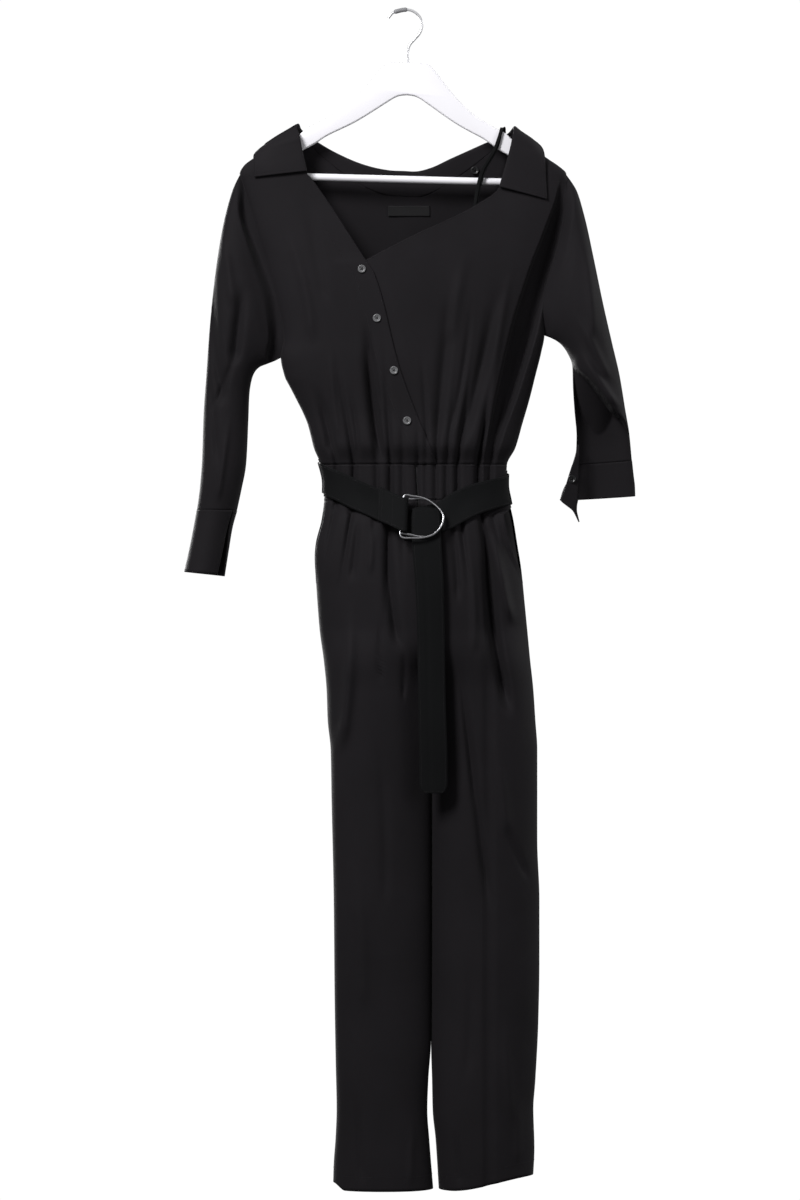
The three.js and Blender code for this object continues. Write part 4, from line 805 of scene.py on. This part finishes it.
def through(points, count, axis):
    """Smooth curves through points along an axis, with count steps between neighbours."""
    points = np.moveaxis(points, axis, 0)
    n = len(points)
    t = line(0, n - 1, 1 / count)
    i = np.clip(t.astype(int), 0, n - 2)
    f = (t - i).reshape((-1,) + (1,) * (points.ndim - 1))
    a, b = points[np.maximum(i - 1, 0)], points[i]
    c, d = points[i + 1], points[np.minimum(i + 2, n - 1)]
    curve = 0.5 * (2 * b + (c - a) * f + (2 * a - 5 * b + 4 * c - d) * f**2 + (3 * b - a - 3 * c + d) * f**3)
    return np.moveaxis(curve, 0, axis)


def collar_row(t):
    fold = np.array([read(COLLAR, t, 1), read(COLLAR, t, 2)])
    edge = np.array([read(COLLAR, t, 3), read(COLLAR, t, 4)])
    on_seam, low = read(COLLAR, t, 5), read(COLLAR, t, 6)
    down = (edge - fold) / np.linalg.norm(edge - fold)
    seam = np.array([fold[0], read(BACK_NECK, fold[0]) + COLLAR_SEAM])
    base = mix(fold + down * COLLAR_OVERLAP, seam, on_seam)
    turned = fold + down * COLLAR_TURN
    high = low + COLLAR_FOLD
    middle = mix(base, turned, 0.5)
    spots = [(base, low), (middle, low), (turned, low), (fold, (low + high) / 2), (turned, high)]
    spots += [(mix(turned, edge, place), high - fall) for place, fall in COLLAR_FALL]
    side = BACK if COLLAR_RIDGES[0] < t < COLLAR_RIDGES[1] else FRONT
    row = np.array([body_point(side, p[0], p[1], lift, False) for p, lift in spots])
    if t in COLLAR_RIDGES:
        row[:, 1] = 0
    return row


collar_net = np.array([collar_row(t) for t in line(0, 15, 0.5)])
collar_grid = through(through(collar_net, 6, 0), 5, 1)
make("collar_shell", collar_grid, cloth, thickness=COLLAR_CLOTH, nodes=["collar"])

# Belt
BELT_WIDTH = 40
BELT_LIFT = (2.35, 4.5)
BELT_THICKNESS = 1.8
BUCKLE_X = -3
BUCKLE_Z = -708
BUCKLE_LEAN = 0.04
BUCKLE_DEPTH = 50.2
BUCKLE_SLOPE = 0.34
RING_LIFTS = (17.1, 13.6)
RING_WIRE = 1.5
WRAP_RADIUS = 5.2
WRAP_TALLER = 1.17
WRAP_RISE = 3
WRAP_SLOPE = 0.45
# The wrap round the rings: how far towards the tail, and lift
WRAP = [
    (0, -WRAP_RADIUS), (WRAP_RADIUS * 0.75, -WRAP_RADIUS * 0.66), (WRAP_RADIUS, 0),
    (WRAP_RADIUS * 0.75, WRAP_RADIUS * 0.66), (0, WRAP_RADIUS), (-12, 3.4), (-24, -0.6), (-36, -3.4),
]
BELT_COLUMNS = 44
BELT_TURN = 0.6
# At its end the belt rises to the wrap: by how much, and over what share of its length
BELT_RISE = (4, 0.05)


RING_STEP = 1.5


def ring_point(degrees, z, lift):
    """A point round the body, from the wearer's right seam over the front to the left one and back behind."""
    def turned(d):
        a = d % 360
        half = "left" if 90 <= a < 270 else "right"
        from_side = (a, 180 - a, a - 180, 360 - a)[int(a // 90)]
        return half_point(half, FRONT if a < 180 else BACK, from_side / 90, z, False)

    ahead = turned(degrees + RING_STEP) - turned(degrees - RING_STEP)
    normal = np.array([ahead[1], -ahead[0], 0])
    return turned(degrees) + normal / np.linalg.norm(normal) * lift


def front_angle(x, z):
    half = "right" if x < read(MIDDLE, z) else "left"
    turn = float(turn_at(half, FRONT, x, z))
    return turn * 90 if half == "right" else 180 - turn * 90


BELT_RIGHT = [(-4, -718), (46, -709), (68, -696.5), (98.7, -682), (125, -674)]
BELT_ROUND = [(180, -668), (270, -655), (360, -652)]
BELT_LEFT = [(-94.5, -663), (-62.3, -679), (-39.9, -689), (-12, -702)]
belt_path = [(front_angle(x, z), z) for x, z in BELT_RIGHT] + BELT_ROUND
belt_path += [(360 + front_angle(x, z), z) for x, z in BELT_LEFT]


def front_y(z, lift):
    return -(BUCKLE_DEPTH + BUCKLE_SLOPE * (BUCKLE_Z - z) + SEAM + lift)


def belt_grid():
    places = line(-0.5, 0.5, 0.5)
    rows = []
    for u in line(0, 1, 1 / BELT_COLUMNS):
        degrees = mix(belt_path[0][0], belt_path[-1][0], u)
        z = float(read(belt_path, degrees))
        a = ring_point(degrees - 1, float(read(belt_path, degrees - 1)), 0)
        b = ring_point(degrees + 1, float(read(belt_path, degrees + 1)), 0)
        slope = (b[2] - a[2]) / math.hypot(b[0] - a[0], b[1] - a[1])
        turned = abs(math.sin(math.radians(degrees)))
        rise, share = BELT_RISE
        lift = mix(*BELT_LIFT, smooth(turned / BELT_TURN)) + rise * smooth((u - (1 - share)) / share)
        rows.append([ring_point(degrees, z + w * BELT_WIDTH * math.hypot(1, slope), lift) for w in places])
    mean_lift = sum(RING_LIFTS) / 2
    for forward, lift in WRAP:
        row = []
        for w in places:
            z = BUCKLE_Z + WRAP_RISE - WRAP_SLOPE * min(forward, 0) + w * BELT_WIDTH * WRAP_TALLER
            row.append([BUCKLE_X + forward + (z - BUCKLE_Z) * BUCKLE_LEAN, front_y(z, mean_lift + lift), z])
        rows.append(row)
    net = np.array(rows)
    return through(through(net, 6, 0), 6, 1)


make("belt_shell", belt_grid(), webbing, thickness=BELT_THICKNESS, nodes=["belt"])
TAIL = [
    (-696, 28.5, -58.1, 18.5), (-712, 28.6, -63, 20), (-745, 29.4, -71, 20.2), (-800, 33, -74, 19.5),
    (-860, 35, -72.5, 19), (-960, 36.4, -69, 19), (-1040, 38.4, -65.5, 19.5), (-1078, 38.6, -64, 19.5),
    (-1087, 38.6, -64, 17), (-1091, 38.6, -64, 12),
]
TAIL_ROUNDING = -1077
# Height of the tail's long crease, its place across, its half width, and where and over what it starts
TAIL_CREASE = (0.7, -0.28, 0.12)
CREASE_START = (-745, 60)
TAIL_CUP = 1.2
TAIL_SWAY = (0.5, 38)


def tail_grid():
    rounding = line(TAIL_ROUNDING, TAIL[-1][0], 1)
    z = np.concatenate([line(TAIL[0][0], TAIL_ROUNDING + 1, 4), rounding])[:, None]
    w = line(-1, 1, 1 / 8)[None, :]
    x = read(TAIL, z, 1) + w * read(TAIL, z, 3)
    height, place, half_width = TAIL_CREASE
    start, reach = CREASE_START
    crease = height * np.exp(-(((w - place) / half_width) ** 2)) * smooth((start - z) / reach)
    sway, wave = TAIL_SWAY
    y = read(TAIL, z, 2) + TAIL_CUP * w * w + crease + sway * np.sin(z / wave) * w
    return np.stack([x, y, np.broadcast_to(z, x.shape)], axis=-1)


make("belt_tail_shell", tail_grid(), webbing, thickness=BELT_THICKNESS, nodes=["belt_tail"])


# Wires, buttons and hanger
def wire(name, points, radii, material, closed=False, sides=20, nodes=()):
    """A round wire along points that never run straight along Y."""
    points = np.asarray(points, float)
    if closed:
        tangent = np.roll(points, -1, axis=0) - np.roll(points, 1, axis=0)
    else:
        tangent = np.gradient(points, axis=0)
    tangent /= np.linalg.norm(tangent, axis=1, keepdims=True)
    sideways = np.cross([0.0, 1.0, 0.0], tangent)
    sideways /= np.linalg.norm(sideways, axis=1, keepdims=True)
    over = np.cross(tangent, sideways)
    angle = np.linspace(0, 2 * np.pi, sides, endpoint=False)
    size = np.broadcast_to(radii, len(points))[:, None, None]
    offset = np.cos(angle)[None, :, None] * sideways[:, None] + np.sin(angle)[None, :, None] * over[:, None]
    grid = points[:, None] + size * offset
    faces = grid_faces(len(points), sides, wrap=True, closed=closed).tolist()
    if not closed:
        last = (len(points) - 1) * sides
        faces += [list(range(sides)), list(range(last, last + sides))[::-1]]
    finish_piece(name, mesh_of(name, grid, faces), material, nodes=nodes)


RING_CURVE = [
    (-2.5, 28), (11, 28.8), (26.6, 25.5), (39.9, 17.5), (50, 6.5), (52, -3.5), (47.5, -15.5), (38, -24.5),
    (25, -28.6), (10, -29.4), (-7, -26), (-4, 0),
]


RING_ENDS = (-6, 42)


def closed_curve(points, count):
    points = np.array(points, float)
    padded = np.concatenate([points[-1:], points, points[:2]])
    return through(padded, count, 0)[count:-count][:-1]


def belt_ring(name, node, lift, closing):
    """A ring of the pair: closing brings its straight end's corners together, as it leans on the other."""
    flat = closed_curve(RING_CURVE, 12)
    start, reach = RING_ENDS
    flat[:, 1] *= 1 - closing * (1 - smooth((flat[:, 0] - start) / reach))
    z = BUCKLE_Z + flat[:, 1]
    points = np.stack([flat[:, 0], front_y(z, lift), z], axis=-1)
    wire(name, points, RING_WIRE, ring_metal, closed=True, nodes=[node])


belt_ring("belt_ring_1_wire", "belt_ring_1", RING_LIFTS[0], 0)
belt_ring("belt_ring_2_wire", "belt_ring_2", RING_LIFTS[1], 0.2)

BUTTON_THICKNESS = 2.4
BUTTON_SIDES = 72
# Radius and height, from the dish over the rim to the flat back
BUTTON_PROFILE = [
    (0, 0.15), (1.2, 0.15), (2.4, 0.2), (3.3, 0.35), (3.9, 0.9), (4.6, 1.2), (5.2, 1.05), (5.6, 0.5),
    (5.6, -0.4), (5.2, -1.0), (4.2, -1.2), (0, -1.2),
]
DISH_ROWS = 30
HOLE_PLACE = 1.15
HOLE_RADIUS = 0.62
HOLE_DEPTH = 1.1
HOLE_ROUNDING = 0.3
BUTTON_THREAD = 0.28
THREAD_DIP = 0.25
THREAD_TOP = -0.75
THREAD_LAYER = 0.1
MERGE_METRES = 1e-6


def button(name, node, centre, material):
    """A four-hole button: a turned rim and dish, with holes sunk into the dish, and crossed thread."""
    dense = through(np.array(BUTTON_PROFILE, float), 6, 0)
    angle = np.linspace(0, 2 * np.pi, BUTTON_SIDES, endpoint=False)
    radius, height = np.maximum(dense[:, 0], 0)[:, None], dense[:, 1][:, None]
    x, z = radius * np.cos(angle), radius * np.sin(angle)
    depth = np.broadcast_to(height, x.shape).copy()
    top = np.broadcast_to((np.arange(len(dense)) < DISH_ROWS)[:, None], x.shape)
    for hx, hz in ((1, 1), (-1, 1), (-1, -1), (1, -1)):
        away = np.hypot(x - hx * HOLE_PLACE, z - hz * HOLE_PLACE)
        depth -= np.where(top, HOLE_DEPTH * (1 - smooth((away - HOLE_RADIUS) / HOLE_ROUNDING)), 0)
    grid = np.stack([x, -depth, z], axis=-1) + np.array(centre)
    mesh = mesh_of(name, grid, grid_faces(len(grid), BUTTON_SIDES, wrap=True).tolist())
    edit = bmesh.new()
    edit.from_mesh(mesh)
    bmesh.ops.remove_doubles(edit, verts=edit.verts, dist=MERGE_METRES)
    bmesh.ops.recalc_face_normals(edit, faces=edit.faces)
    edit.to_mesh(mesh)
    edit.free()
    finish_piece(name, mesh, material, nodes=[node] if node else ())
    for k, lean in enumerate((1, -1)):
        ends = np.array([[-1, THREAD_DIP, -lean], [0, THREAD_TOP, 0], [1, THREAD_DIP, lean]])
        path = through(ends * [HOLE_PLACE, 1, HOLE_PLACE], 8, 0)
        path = path + np.array(centre) + [0, -THREAD_LAYER * k, 0]
        wire(f"{name}_thread_{k + 1}", path, BUTTON_THREAD, button_thread, sides=8)


BUTTONS = [(-60.9, -362.6, 0.7), (-39.9, -431.2, 0.4), (-16.1, -504, 0.5), (2.1, -574, 1.1)]
BUTTON_LIFT = 0.6 + BUTTON_THICKNESS / 2
for i, (x, z, lift) in enumerate(BUTTONS):
    y = float(body_point(FRONT, x, z, fine=False)[1]) - OVERLAP_LIFT - BUTTON_LIFT - lift
    button(f"button_{i + 1}_turned", f"button_{i + 1}", (x, y, z), button_plastic)
INNER_BUTTON = (97.3, -219.8, 1.5)
x, z, lift = INNER_BUTTON
y = float(body_point(BACK, x, z, fine=False)[1]) - BUTTON_LIFT - lift
button("button_inner_turned", "button_inner", (x, y, z), button_black)

LABEL_LIFT = -1.7
label_x = line(-24.5, 34.3, 1.5)[None, :]
label_z = line(-268.8, -283.5, 1.5)[:, None]
label_grid = body_point(BACK, label_x, label_z, LABEL_LIFT, False)
make("label_shell", label_grid, label_cloth, thickness=0.8, nodes=["label"])

LOOP = [
    (137, 7.5, -178), (137.5, 6.5, -168), (137, 0, -162.5), (134, -7.5, -166.5), (125.5, -9.5, -193),
    (110, -10.5, -221), (103, -11.5, -244), (97.5, -14, -273), (95, -17, -290),
]
LOOP_WIDTH = 5
LOOP_CLOTH = 0.9
LOOP_TWIST = (0.42, 0.5)
LOOP_WAVES = 2.2
LOOP_SWAY = (1.7, 0.35)
LOOP_STIR = (0.4, 9)
LOOP_LEAN = 0.6


def loop_grid(sway, start, ahead):
    """One strand of the doubled ribbon, twisting a little as it falls."""
    path = through(np.array(LOOP, float), 10, 0)
    t = line(0, 1, 1 / (len(path) - 1))
    turn = LOOP_TWIST[0] + LOOP_TWIST[1] * np.sin(LOOP_WAVES * np.pi * t + start)
    swing = sway * np.sin(np.pi * (LOOP_SWAY[0] * t + LOOP_SWAY[1]))
    path = path + np.stack([swing, ahead - LOOP_STIR[0] * np.sin(LOOP_STIR[1] * t), 0 * t], axis=-1)
    across_way = np.stack([np.cos(turn), -0.5 * np.sin(turn), np.sin(turn) * LOOP_LEAN], axis=-1)
    return path[:, None] + across_way[:, None] * (line(-0.5, 0.5, 0.25) * LOOP_WIDTH)[None, :, None]


for name, nodes, shape in (
    ("hanger_loop_shell", ["hanger_loop"], (1.6, 0.4, 0)), ("hanger_loop_second", [], (-2.2, 2.4, 1.4)),
):
    make(name, loop_grid(*shape), webbing, thickness=LOOP_CLOTH, nodes=nodes)

HANGER_X = 3.5
HANGER_TOP = -71.4
HANGER_THICKNESS = 9
HANGER_TILT = math.radians(1.5)
HANGER_ROUNDING = 2.4
ROUNDED_FROM = math.radians(50)
ARM_TOP = [
    (25.5, 0), (32, -4), (40.6, -13), (57.4, -34), (78.4, -56.5), (98, -72.5), (126, -88.5), (139, -94.5),
    (148, -103), (165, -115), (180, -126), (195, -139), (204, -151),
]
ARM_BOTTOM = [
    (188, -149), (170, -138.5), (145.6, -126.7), (126, -115.5), (109, -104), (75.6, -87), (53, -73),
    (30.8, -58), (14, -47.5), (0, -45),
]
ARM_TIP = [(210, -158), (208, -170), (196, -170), (196, -156)]


def tilted(points):
    points = np.asarray(points, float)
    c, s = math.cos(HANGER_TILT), math.sin(HANGER_TILT)
    x, z = points[..., 0], points[..., -1]
    y = points[..., 1] if points.shape[-1] == 3 else 0 * x
    return np.stack([x * c + z * s + HANGER_X, y, z * c - x * s + HANGER_TOP], axis=-1)


def hanger_body():
    top, bottom = [through(np.array(edge, float), 4, 0) for edge in (ARM_TOP, ARM_BOTTOM)]
    right = np.concatenate([top, ARM_TIP, bottom])
    left = right[:-1][::-1] * [-1, 1]
    outline = np.concatenate([right, left])
    flat = tilted(outline)
    half = HANGER_THICKNESS / 2
    n = len(flat)
    front, rear = flat + [0, -half, 0], flat + [0, half, 0]
    faces = [list(range(n)), list(range(n, 2 * n))[::-1]]
    faces += [[i, i + n, (i + 1) % n + n, (i + 1) % n] for i in range(n)]
    mesh = mesh_of("hanger_body_wood", np.concatenate([front, rear]), faces)
    piece = finish_piece("hanger_body_wood", mesh, lacquer, nodes=["hanger_body"])
    bevel = piece.modifiers.new("rounding", "BEVEL")
    bevel.width = HANGER_ROUNDING * MM
    bevel.segments = 4
    bevel.limit_method = "ANGLE"
    bevel.angle_limit = ROUNDED_FROM


hanger_body()
BAR_RADIUS = 5
BAR_HALF = 195.6
BAR_Z = -163
bar_line = tilted(np.stack([line(-BAR_HALF, BAR_HALF, 20), np.full(21, BAR_Z)], axis=-1)[:, :2])
wire("hanger_bar_wood", bar_line, BAR_RADIUS, lacquer, sides=40, nodes=["hanger_bar"])
HOOK_PATH = [
    (-24, -8.4), (-18, -1.5), (-9.5, 1.6), (0, 3.2), (9.5, 1.6), (18, -4.5), (22.8, -14), (22.5, -23),
    (19, -31), (12, -39), (6, -46), (3.6, -54), (3.6, -62),
]
HOOK_WIRE = 1.9
hook_line = through(np.array([(x, 0, z) for x, z in HOOK_PATH], float), 8, 0)
stem = tilted(np.array([(0, -2), (0, -24), (0, -44.4)], float))
hook_line = np.concatenate([hook_line, stem])
wire("hanger_hook_wire", hook_line, HOOK_WIRE, hook_metal, nodes=["hanger_hook"])
GRIP_RADIUS = 3.1
grip_line = hook_line[10:27]
grip_size = GRIP_RADIUS * np.minimum(1, np.minimum(line(0.62, 4, 3.38 / 16), line(4, 0.72, 3.28 / 16)))
wire("hanger_hook_grip", grip_line, grip_size, grip_rubber)

# The cuff's loose end strip and its button, on the wearer's left
STRIP = [
    (-606, 240.5, 243), (-622, 237.6, 242.6), (-638, 231.8, 242.2), (-668, 222.2, 241.8), (-684, 216.8, 241),
    (-691, 224.5, 239.6), (-698, 233.5, 239.2), (-706, 238.4, 240.8), (-714, 242.2, 242.9),
]
STRIP_FRONT = [(-606, -3), (-626, -9), (-650, -14), (-684, -16), (-714, -12)]
STRIP_TOP = STRIP[0][0]
STRIP_BOTTOM = STRIP[-1][0]
STRIP_CLOTH = 1.4
STRIP_TURN = (7, 40)
STRIP_WAVE = (1.1, 13)


def strip_grid():
    z = line(STRIP_TOP, STRIP_BOTTOM, 2)[:, None]
    w = line(0, 1, 1 / 8)[None, :]
    x = mix(read(STRIP, z, 1), read(STRIP, z, 2), w)
    turn, reach = STRIP_TURN
    height, wave = STRIP_WAVE
    y = read(STRIP_FRONT, z) + turn * w * smooth((STRIP_TOP - z) / reach) + height * np.sin(z / wave + w)
    return np.stack([x, y, np.broadcast_to(z, x.shape)], axis=-1)


make("cuff_left_strip", strip_grid(), cloth, thickness=STRIP_CLOTH)
CUFF_BUTTON_PLACE = (24, 3)
CUFF_BUTTON_STEP = [0, -1.95, 0]
cuff_button = GRIDS["cuff_left_strip"][CUFF_BUTTON_PLACE] + CUFF_BUTTON_STEP
button("button_cuff_left_turned", None, cuff_button, button_black)

# Belt loops at the side seams
LOOP_HALF = 26
LOOP_LIFTS = (1.05, 3.85)
LOOP_STEP = (20.6, 1.5)
for name, degrees in (("right", 360), ("left", 180)):
    middle = float(read(belt_path, degrees))
    rows = []
    for v in line(-LOOP_HALF, LOOP_HALF, 0.7):
        lift = mix(*LOOP_LIFTS, smooth((LOOP_STEP[0] + LOOP_STEP[1] - abs(v)) / LOOP_STEP[1]))
        rows.append([ring_point(degrees + w, middle + v, lift) for w in line(-4.5, 4.5, 0.75)])
    make(f"belt_loop_{name}", np.array(rows), cloth)


# Sewing
def surface_line(grid, edge, inset, hint, keep=None):
    """The line on a grid at a distance in from one of its edges, with its outward normals."""
    if edge in ("start", "end"):
        grid = grid.swapaxes(0, 1)
    g = grid[::-1] if edge in ("bottom", "end") else grid
    along = np.gradient(g, axis=1)
    inward = np.gradient(g, axis=0)
    normal = np.cross(along, inward)
    normal /= np.maximum(np.linalg.norm(normal, axis=-1, keepdims=True), 1e-9)
    run = np.cumsum(np.linalg.norm(np.diff(g, axis=0), axis=-1), axis=0)
    run = np.concatenate([np.zeros((1, g.shape[1])), run])
    points, normals = [], []
    for column in range(g.shape[1]):
        i = min(int(np.searchsorted(run[:, column], inset, side="right")) - 1, g.shape[0] - 2)
        f = (inset - run[i, column]) / max(run[i + 1, column] - run[i, column], 1e-9)
        point = mix(g[i, column], g[i + 1, column], f)
        out = mix(normal[i, column], normal[i + 1, column], f)
        if np.dot(out, hint(point)) < 0:
            out = -out
        if keep is None or keep(point):
            points.append(point)
            normals.append(out)
    return np.array(points), np.array(normals)


STITCH_PITCH = 3.0
STITCH_LENGTH = 2.3
STITCH_RADIUS = 0.24
STITCH_SIDES = 5
# A stitch's rings along its length: place, share of its radius
STITCH_RINGS = [(-0.5, 0.35), (-0.3, 1), (0.3, 1), (0.5, 0.35)]
STITCH_DIP = 0.3
STITCH_AIM = 0.6


def at_places(run, values, places):
    return np.stack([np.interp(places, run, values[:, k]) for k in range(3)], axis=-1)


def stitches(name, lines, lift=CLOTH / 2):
    """A row of stitches along lines on the cloth, half sunk into it."""
    vertices, faces = [], []
    for points, normals in lines:
        run = np.concatenate([[0], np.cumsum(np.linalg.norm(np.diff(points, axis=0), axis=1))])
        count = int(run[-1] // STITCH_PITCH)
        places = (np.arange(count) + 0.5) * run[-1] / max(count, 1)
        centre, out = at_places(run, points, places), at_places(run, normals, places)
        out /= np.linalg.norm(out, axis=1, keepdims=True)
        forward = at_places(run, points, places + STITCH_AIM) - at_places(run, points, places - STITCH_AIM)
        forward /= np.linalg.norm(forward, axis=1, keepdims=True)
        sideways = np.cross(forward, out)
        for c, f, o, w in zip(centre, forward, out, sideways):
            base = len(vertices)
            for place, size in STITCH_RINGS:
                sink = lift + 0.5 * STITCH_RADIUS - (1 - size) * STITCH_DIP
                for k in range(STITCH_SIDES):
                    a = 2 * math.pi * k / STITCH_SIDES
                    ring = STITCH_RADIUS * size * (math.cos(a) * w + math.sin(a) * o)
                    vertices.append(c + f * place * STITCH_LENGTH + o * sink + ring)
            for r in range(len(STITCH_RINGS) - 1):
                for k in range(STITCH_SIDES):
                    a, b = base + r * STITCH_SIDES + k, base + r * STITCH_SIDES + (k + 1) % STITCH_SIDES
                    faces.append([a, b, b + STITCH_SIDES, a + STITCH_SIDES])
            faces.append([base + k for k in range(STITCH_SIDES)][::-1])
            faces.append([base + 3 * STITCH_SIDES + k for k in range(STITCH_SIDES)])
    finish_piece(name, mesh_of(name, vertices, faces), thread_cloth)


NECKLINE_END = -352
PLACKET_SEWN = -300
BUCKLE_FRONT = -52


def forward_hint(_):
    return np.array([0, -1, 0])


def round_hint(x):
    return lambda point: np.array([point[0] - x, point[1], 0])


def neckline(point):
    return point[2] > NECKLINE_END


def below_neck(point):
    return point[2] < PLACKET_SEWN


def beside_mouth(point):
    return POCKET_TOP > point[2] > POCKET_BOTTOM


def collar_hint(point):
    return np.array([0, -1 if point[1] < 0 else 1, 0])


stitches("stitch_placket_edge", [surface_line(GRIDS["front_right_shell"], "end", 2.2, forward_hint)])
stitches("stitch_placket_inner", [
    surface_line(GRIDS["front_right_shell"], "end", PLACKET_WIDTH - 1.5, forward_hint, below_neck),
])
stitches("stitch_neck_left", [surface_line(GRIDS["front_left_shell"], "end", 3, forward_hint, neckline)])
WAIST_MIDDLE = 14
stitches("stitch_waistband", [
    surface_line(GRIDS["waistband_shell"], edge, 2.2, round_hint(WAIST_MIDDLE)) for edge in ("top", "bottom")
])
for half, middle in (("right", -32), ("left", 110)):
    for word in ("front", "back"):
        grid = GRIDS[f"leg_{word}_{half}_shell"]
        stitches(f"stitch_hem_{word}_{half}", [surface_line(grid, "bottom", 20, round_hint(middle))])
    grid = GRIDS[f"leg_front_{half}_shell"]
    stitches(f"stitch_pocket_{half}", [
        surface_line(grid, "start", inset, round_hint(middle), beside_mouth) for inset in (2.5, 7.5)
    ])
    cuff_grid = GRIDS[f"cuff_{half}_shell"]
    centre = cuff_grid.reshape(-1, 3).mean(axis=0)
    stitches(f"stitch_cuff_{half}", [
        surface_line(cuff_grid, edge, inset, round_hint(centre[0]))
        for edge, inset in (("top", 2.2), ("bottom", 4), ("start", 4), ("end", 4))
    ], lift=CUFF_CLOTH / 2)
collar_fall = GRIDS["collar_shell"][:, 26:]
stitches("stitch_collar_edge", [
    surface_line(GRIDS["collar_shell"], "end", 5, collar_hint),
    surface_line(collar_fall, "top", 5, forward_hint),
    surface_line(collar_fall, "bottom", 5, forward_hint),
], lift=COLLAR_CLOTH / 2)


def belt_hint(point):
    return forward_hint(point) if point[1] < BUCKLE_FRONT else round_hint(WAIST_MIDDLE)(point)


belt_body = GRIDS["belt_shell"][: BELT_COLUMNS * 6]
belt_wrap = GRIDS["belt_shell"][(BELT_COLUMNS + 5) * 6:]
stitches("stitch_belt", [
    surface_line(part, edge, 3, belt_hint) for part in (belt_body, belt_wrap) for edge in ("start", "end")
], lift=BELT_THICKNESS / 2)
stitches("stitch_belt_wrap", [
    surface_line(GRIDS["belt_shell"], "bottom", inset, forward_hint) for inset in (2.5, 6.5, 24)
], lift=BELT_THICKNESS / 2)
stitches("stitch_belt_tail", [
    surface_line(GRIDS["belt_tail_shell"], edge, 3, forward_hint) for edge in ("start", "end", "bottom")
], lift=BELT_THICKNESS / 2)
stitches("stitch_label", [
    surface_line(GRIDS["label_shell"], edge, 1, forward_hint) for edge in ("top", "bottom", "start", "end")
], lift=0.4)

# Stage, in metres: a pale floor that turns up into a round wall, and soft light
STAGE_RADIUS = 13.0
STAGE_BEND = 2.0
STAGE_HEIGHT = 9.0
STAGE_SIDES = 96
STAGE_STEPS = 14
FLOOR_GAP = 0.12
FLOOR_CENTRE = 0.001
STAGE_WHITE = 1.02


def make_stage():
    """Floor and wall all round, so that every view has the same pale ground. It adds no light of its own."""
    floor = CAD_BOX[0][2] - FLOOR_GAP
    profile = [(FLOOR_CENTRE, floor), (STAGE_RADIUS - STAGE_BEND, floor)]
    for a in np.linspace(0.1, math.pi / 2, STAGE_STEPS):
        out = STAGE_RADIUS - STAGE_BEND * (1 - math.sin(a))
        profile.append((out, floor + STAGE_BEND * (1 - math.cos(a))))
    profile.append((STAGE_RADIUS, floor + STAGE_HEIGHT))
    angles = np.linspace(0, 2 * math.pi, STAGE_SIDES, endpoint=False)
    points = [(r * math.cos(a), r * math.sin(a), z) for r, z in profile for a in angles]
    faces = grid_faces(len(profile), STAGE_SIDES, wrap=True)[:, ::-1].tolist()
    mesh = bpy.data.meshes.new("stage_round")
    mesh.from_pydata(points, [], faces)
    mesh.polygons.foreach_set("use_smooth", [True] * len(mesh.polygons))
    material, _, shader = node_material("stage_white", (0.0, 0.0, 0.0), 1.0)
    shader.inputs["Specular IOR Level"].default_value = 0
    shader.inputs["Emission Color"].default_value = (1, 1, 1, 1)
    shader.inputs["Emission Strength"].default_value = STAGE_WHITE
    mesh.materials.append(material)
    stage = bpy.data.objects.new("stage_round", mesh)
    stage.visible_diffuse = False
    stage.visible_glossy = False
    stage.visible_shadow = False
    bpy.context.scene.collection.objects.link(stage)


def area_light(name, place, target, size, power):
    data = bpy.data.lights.new(name, "AREA")
    data.shape = "RECTANGLE"
    data.size, data.size_y = size
    data.energy = power
    light = bpy.data.objects.new(name, data)
    light.location = place
    direction = Vector(target) - Vector(place)
    light.rotation_euler = direction.to_track_quat("-Z", "Y").to_euler()
    bpy.context.scene.collection.objects.link(light)


make_stage()
area_light("key_left", (-1.75, -2.6, 1.75), (0, 0, -0.7), (1.0, 1.4), 178)
area_light("fill_right", (3.0, -2.2, 0.2), (0, 0, -0.8), (1.2, 1.8), 24)
area_light("rear_left", (-1.7, 3.3, 0.1), (0, 0, -0.8), (1.4, 1.4), 220)
area_light("side_right", (3.6, 1.3, 0.8), (0, 0, -0.8), (1.2, 1.4), 80)
bpy.context.scene.view_settings.view_transform = "Standard"
WORLD_LIGHT = 0.23
world = bpy.data.worlds.new("studio")
world.use_nodes = True
background = world.node_tree.nodes["Background"]
background.inputs["Color"].default_value = (1, 1, 1, 1)
background.inputs["Strength"].default_value = WORLD_LIGHT
bpy.context.scene.world = world
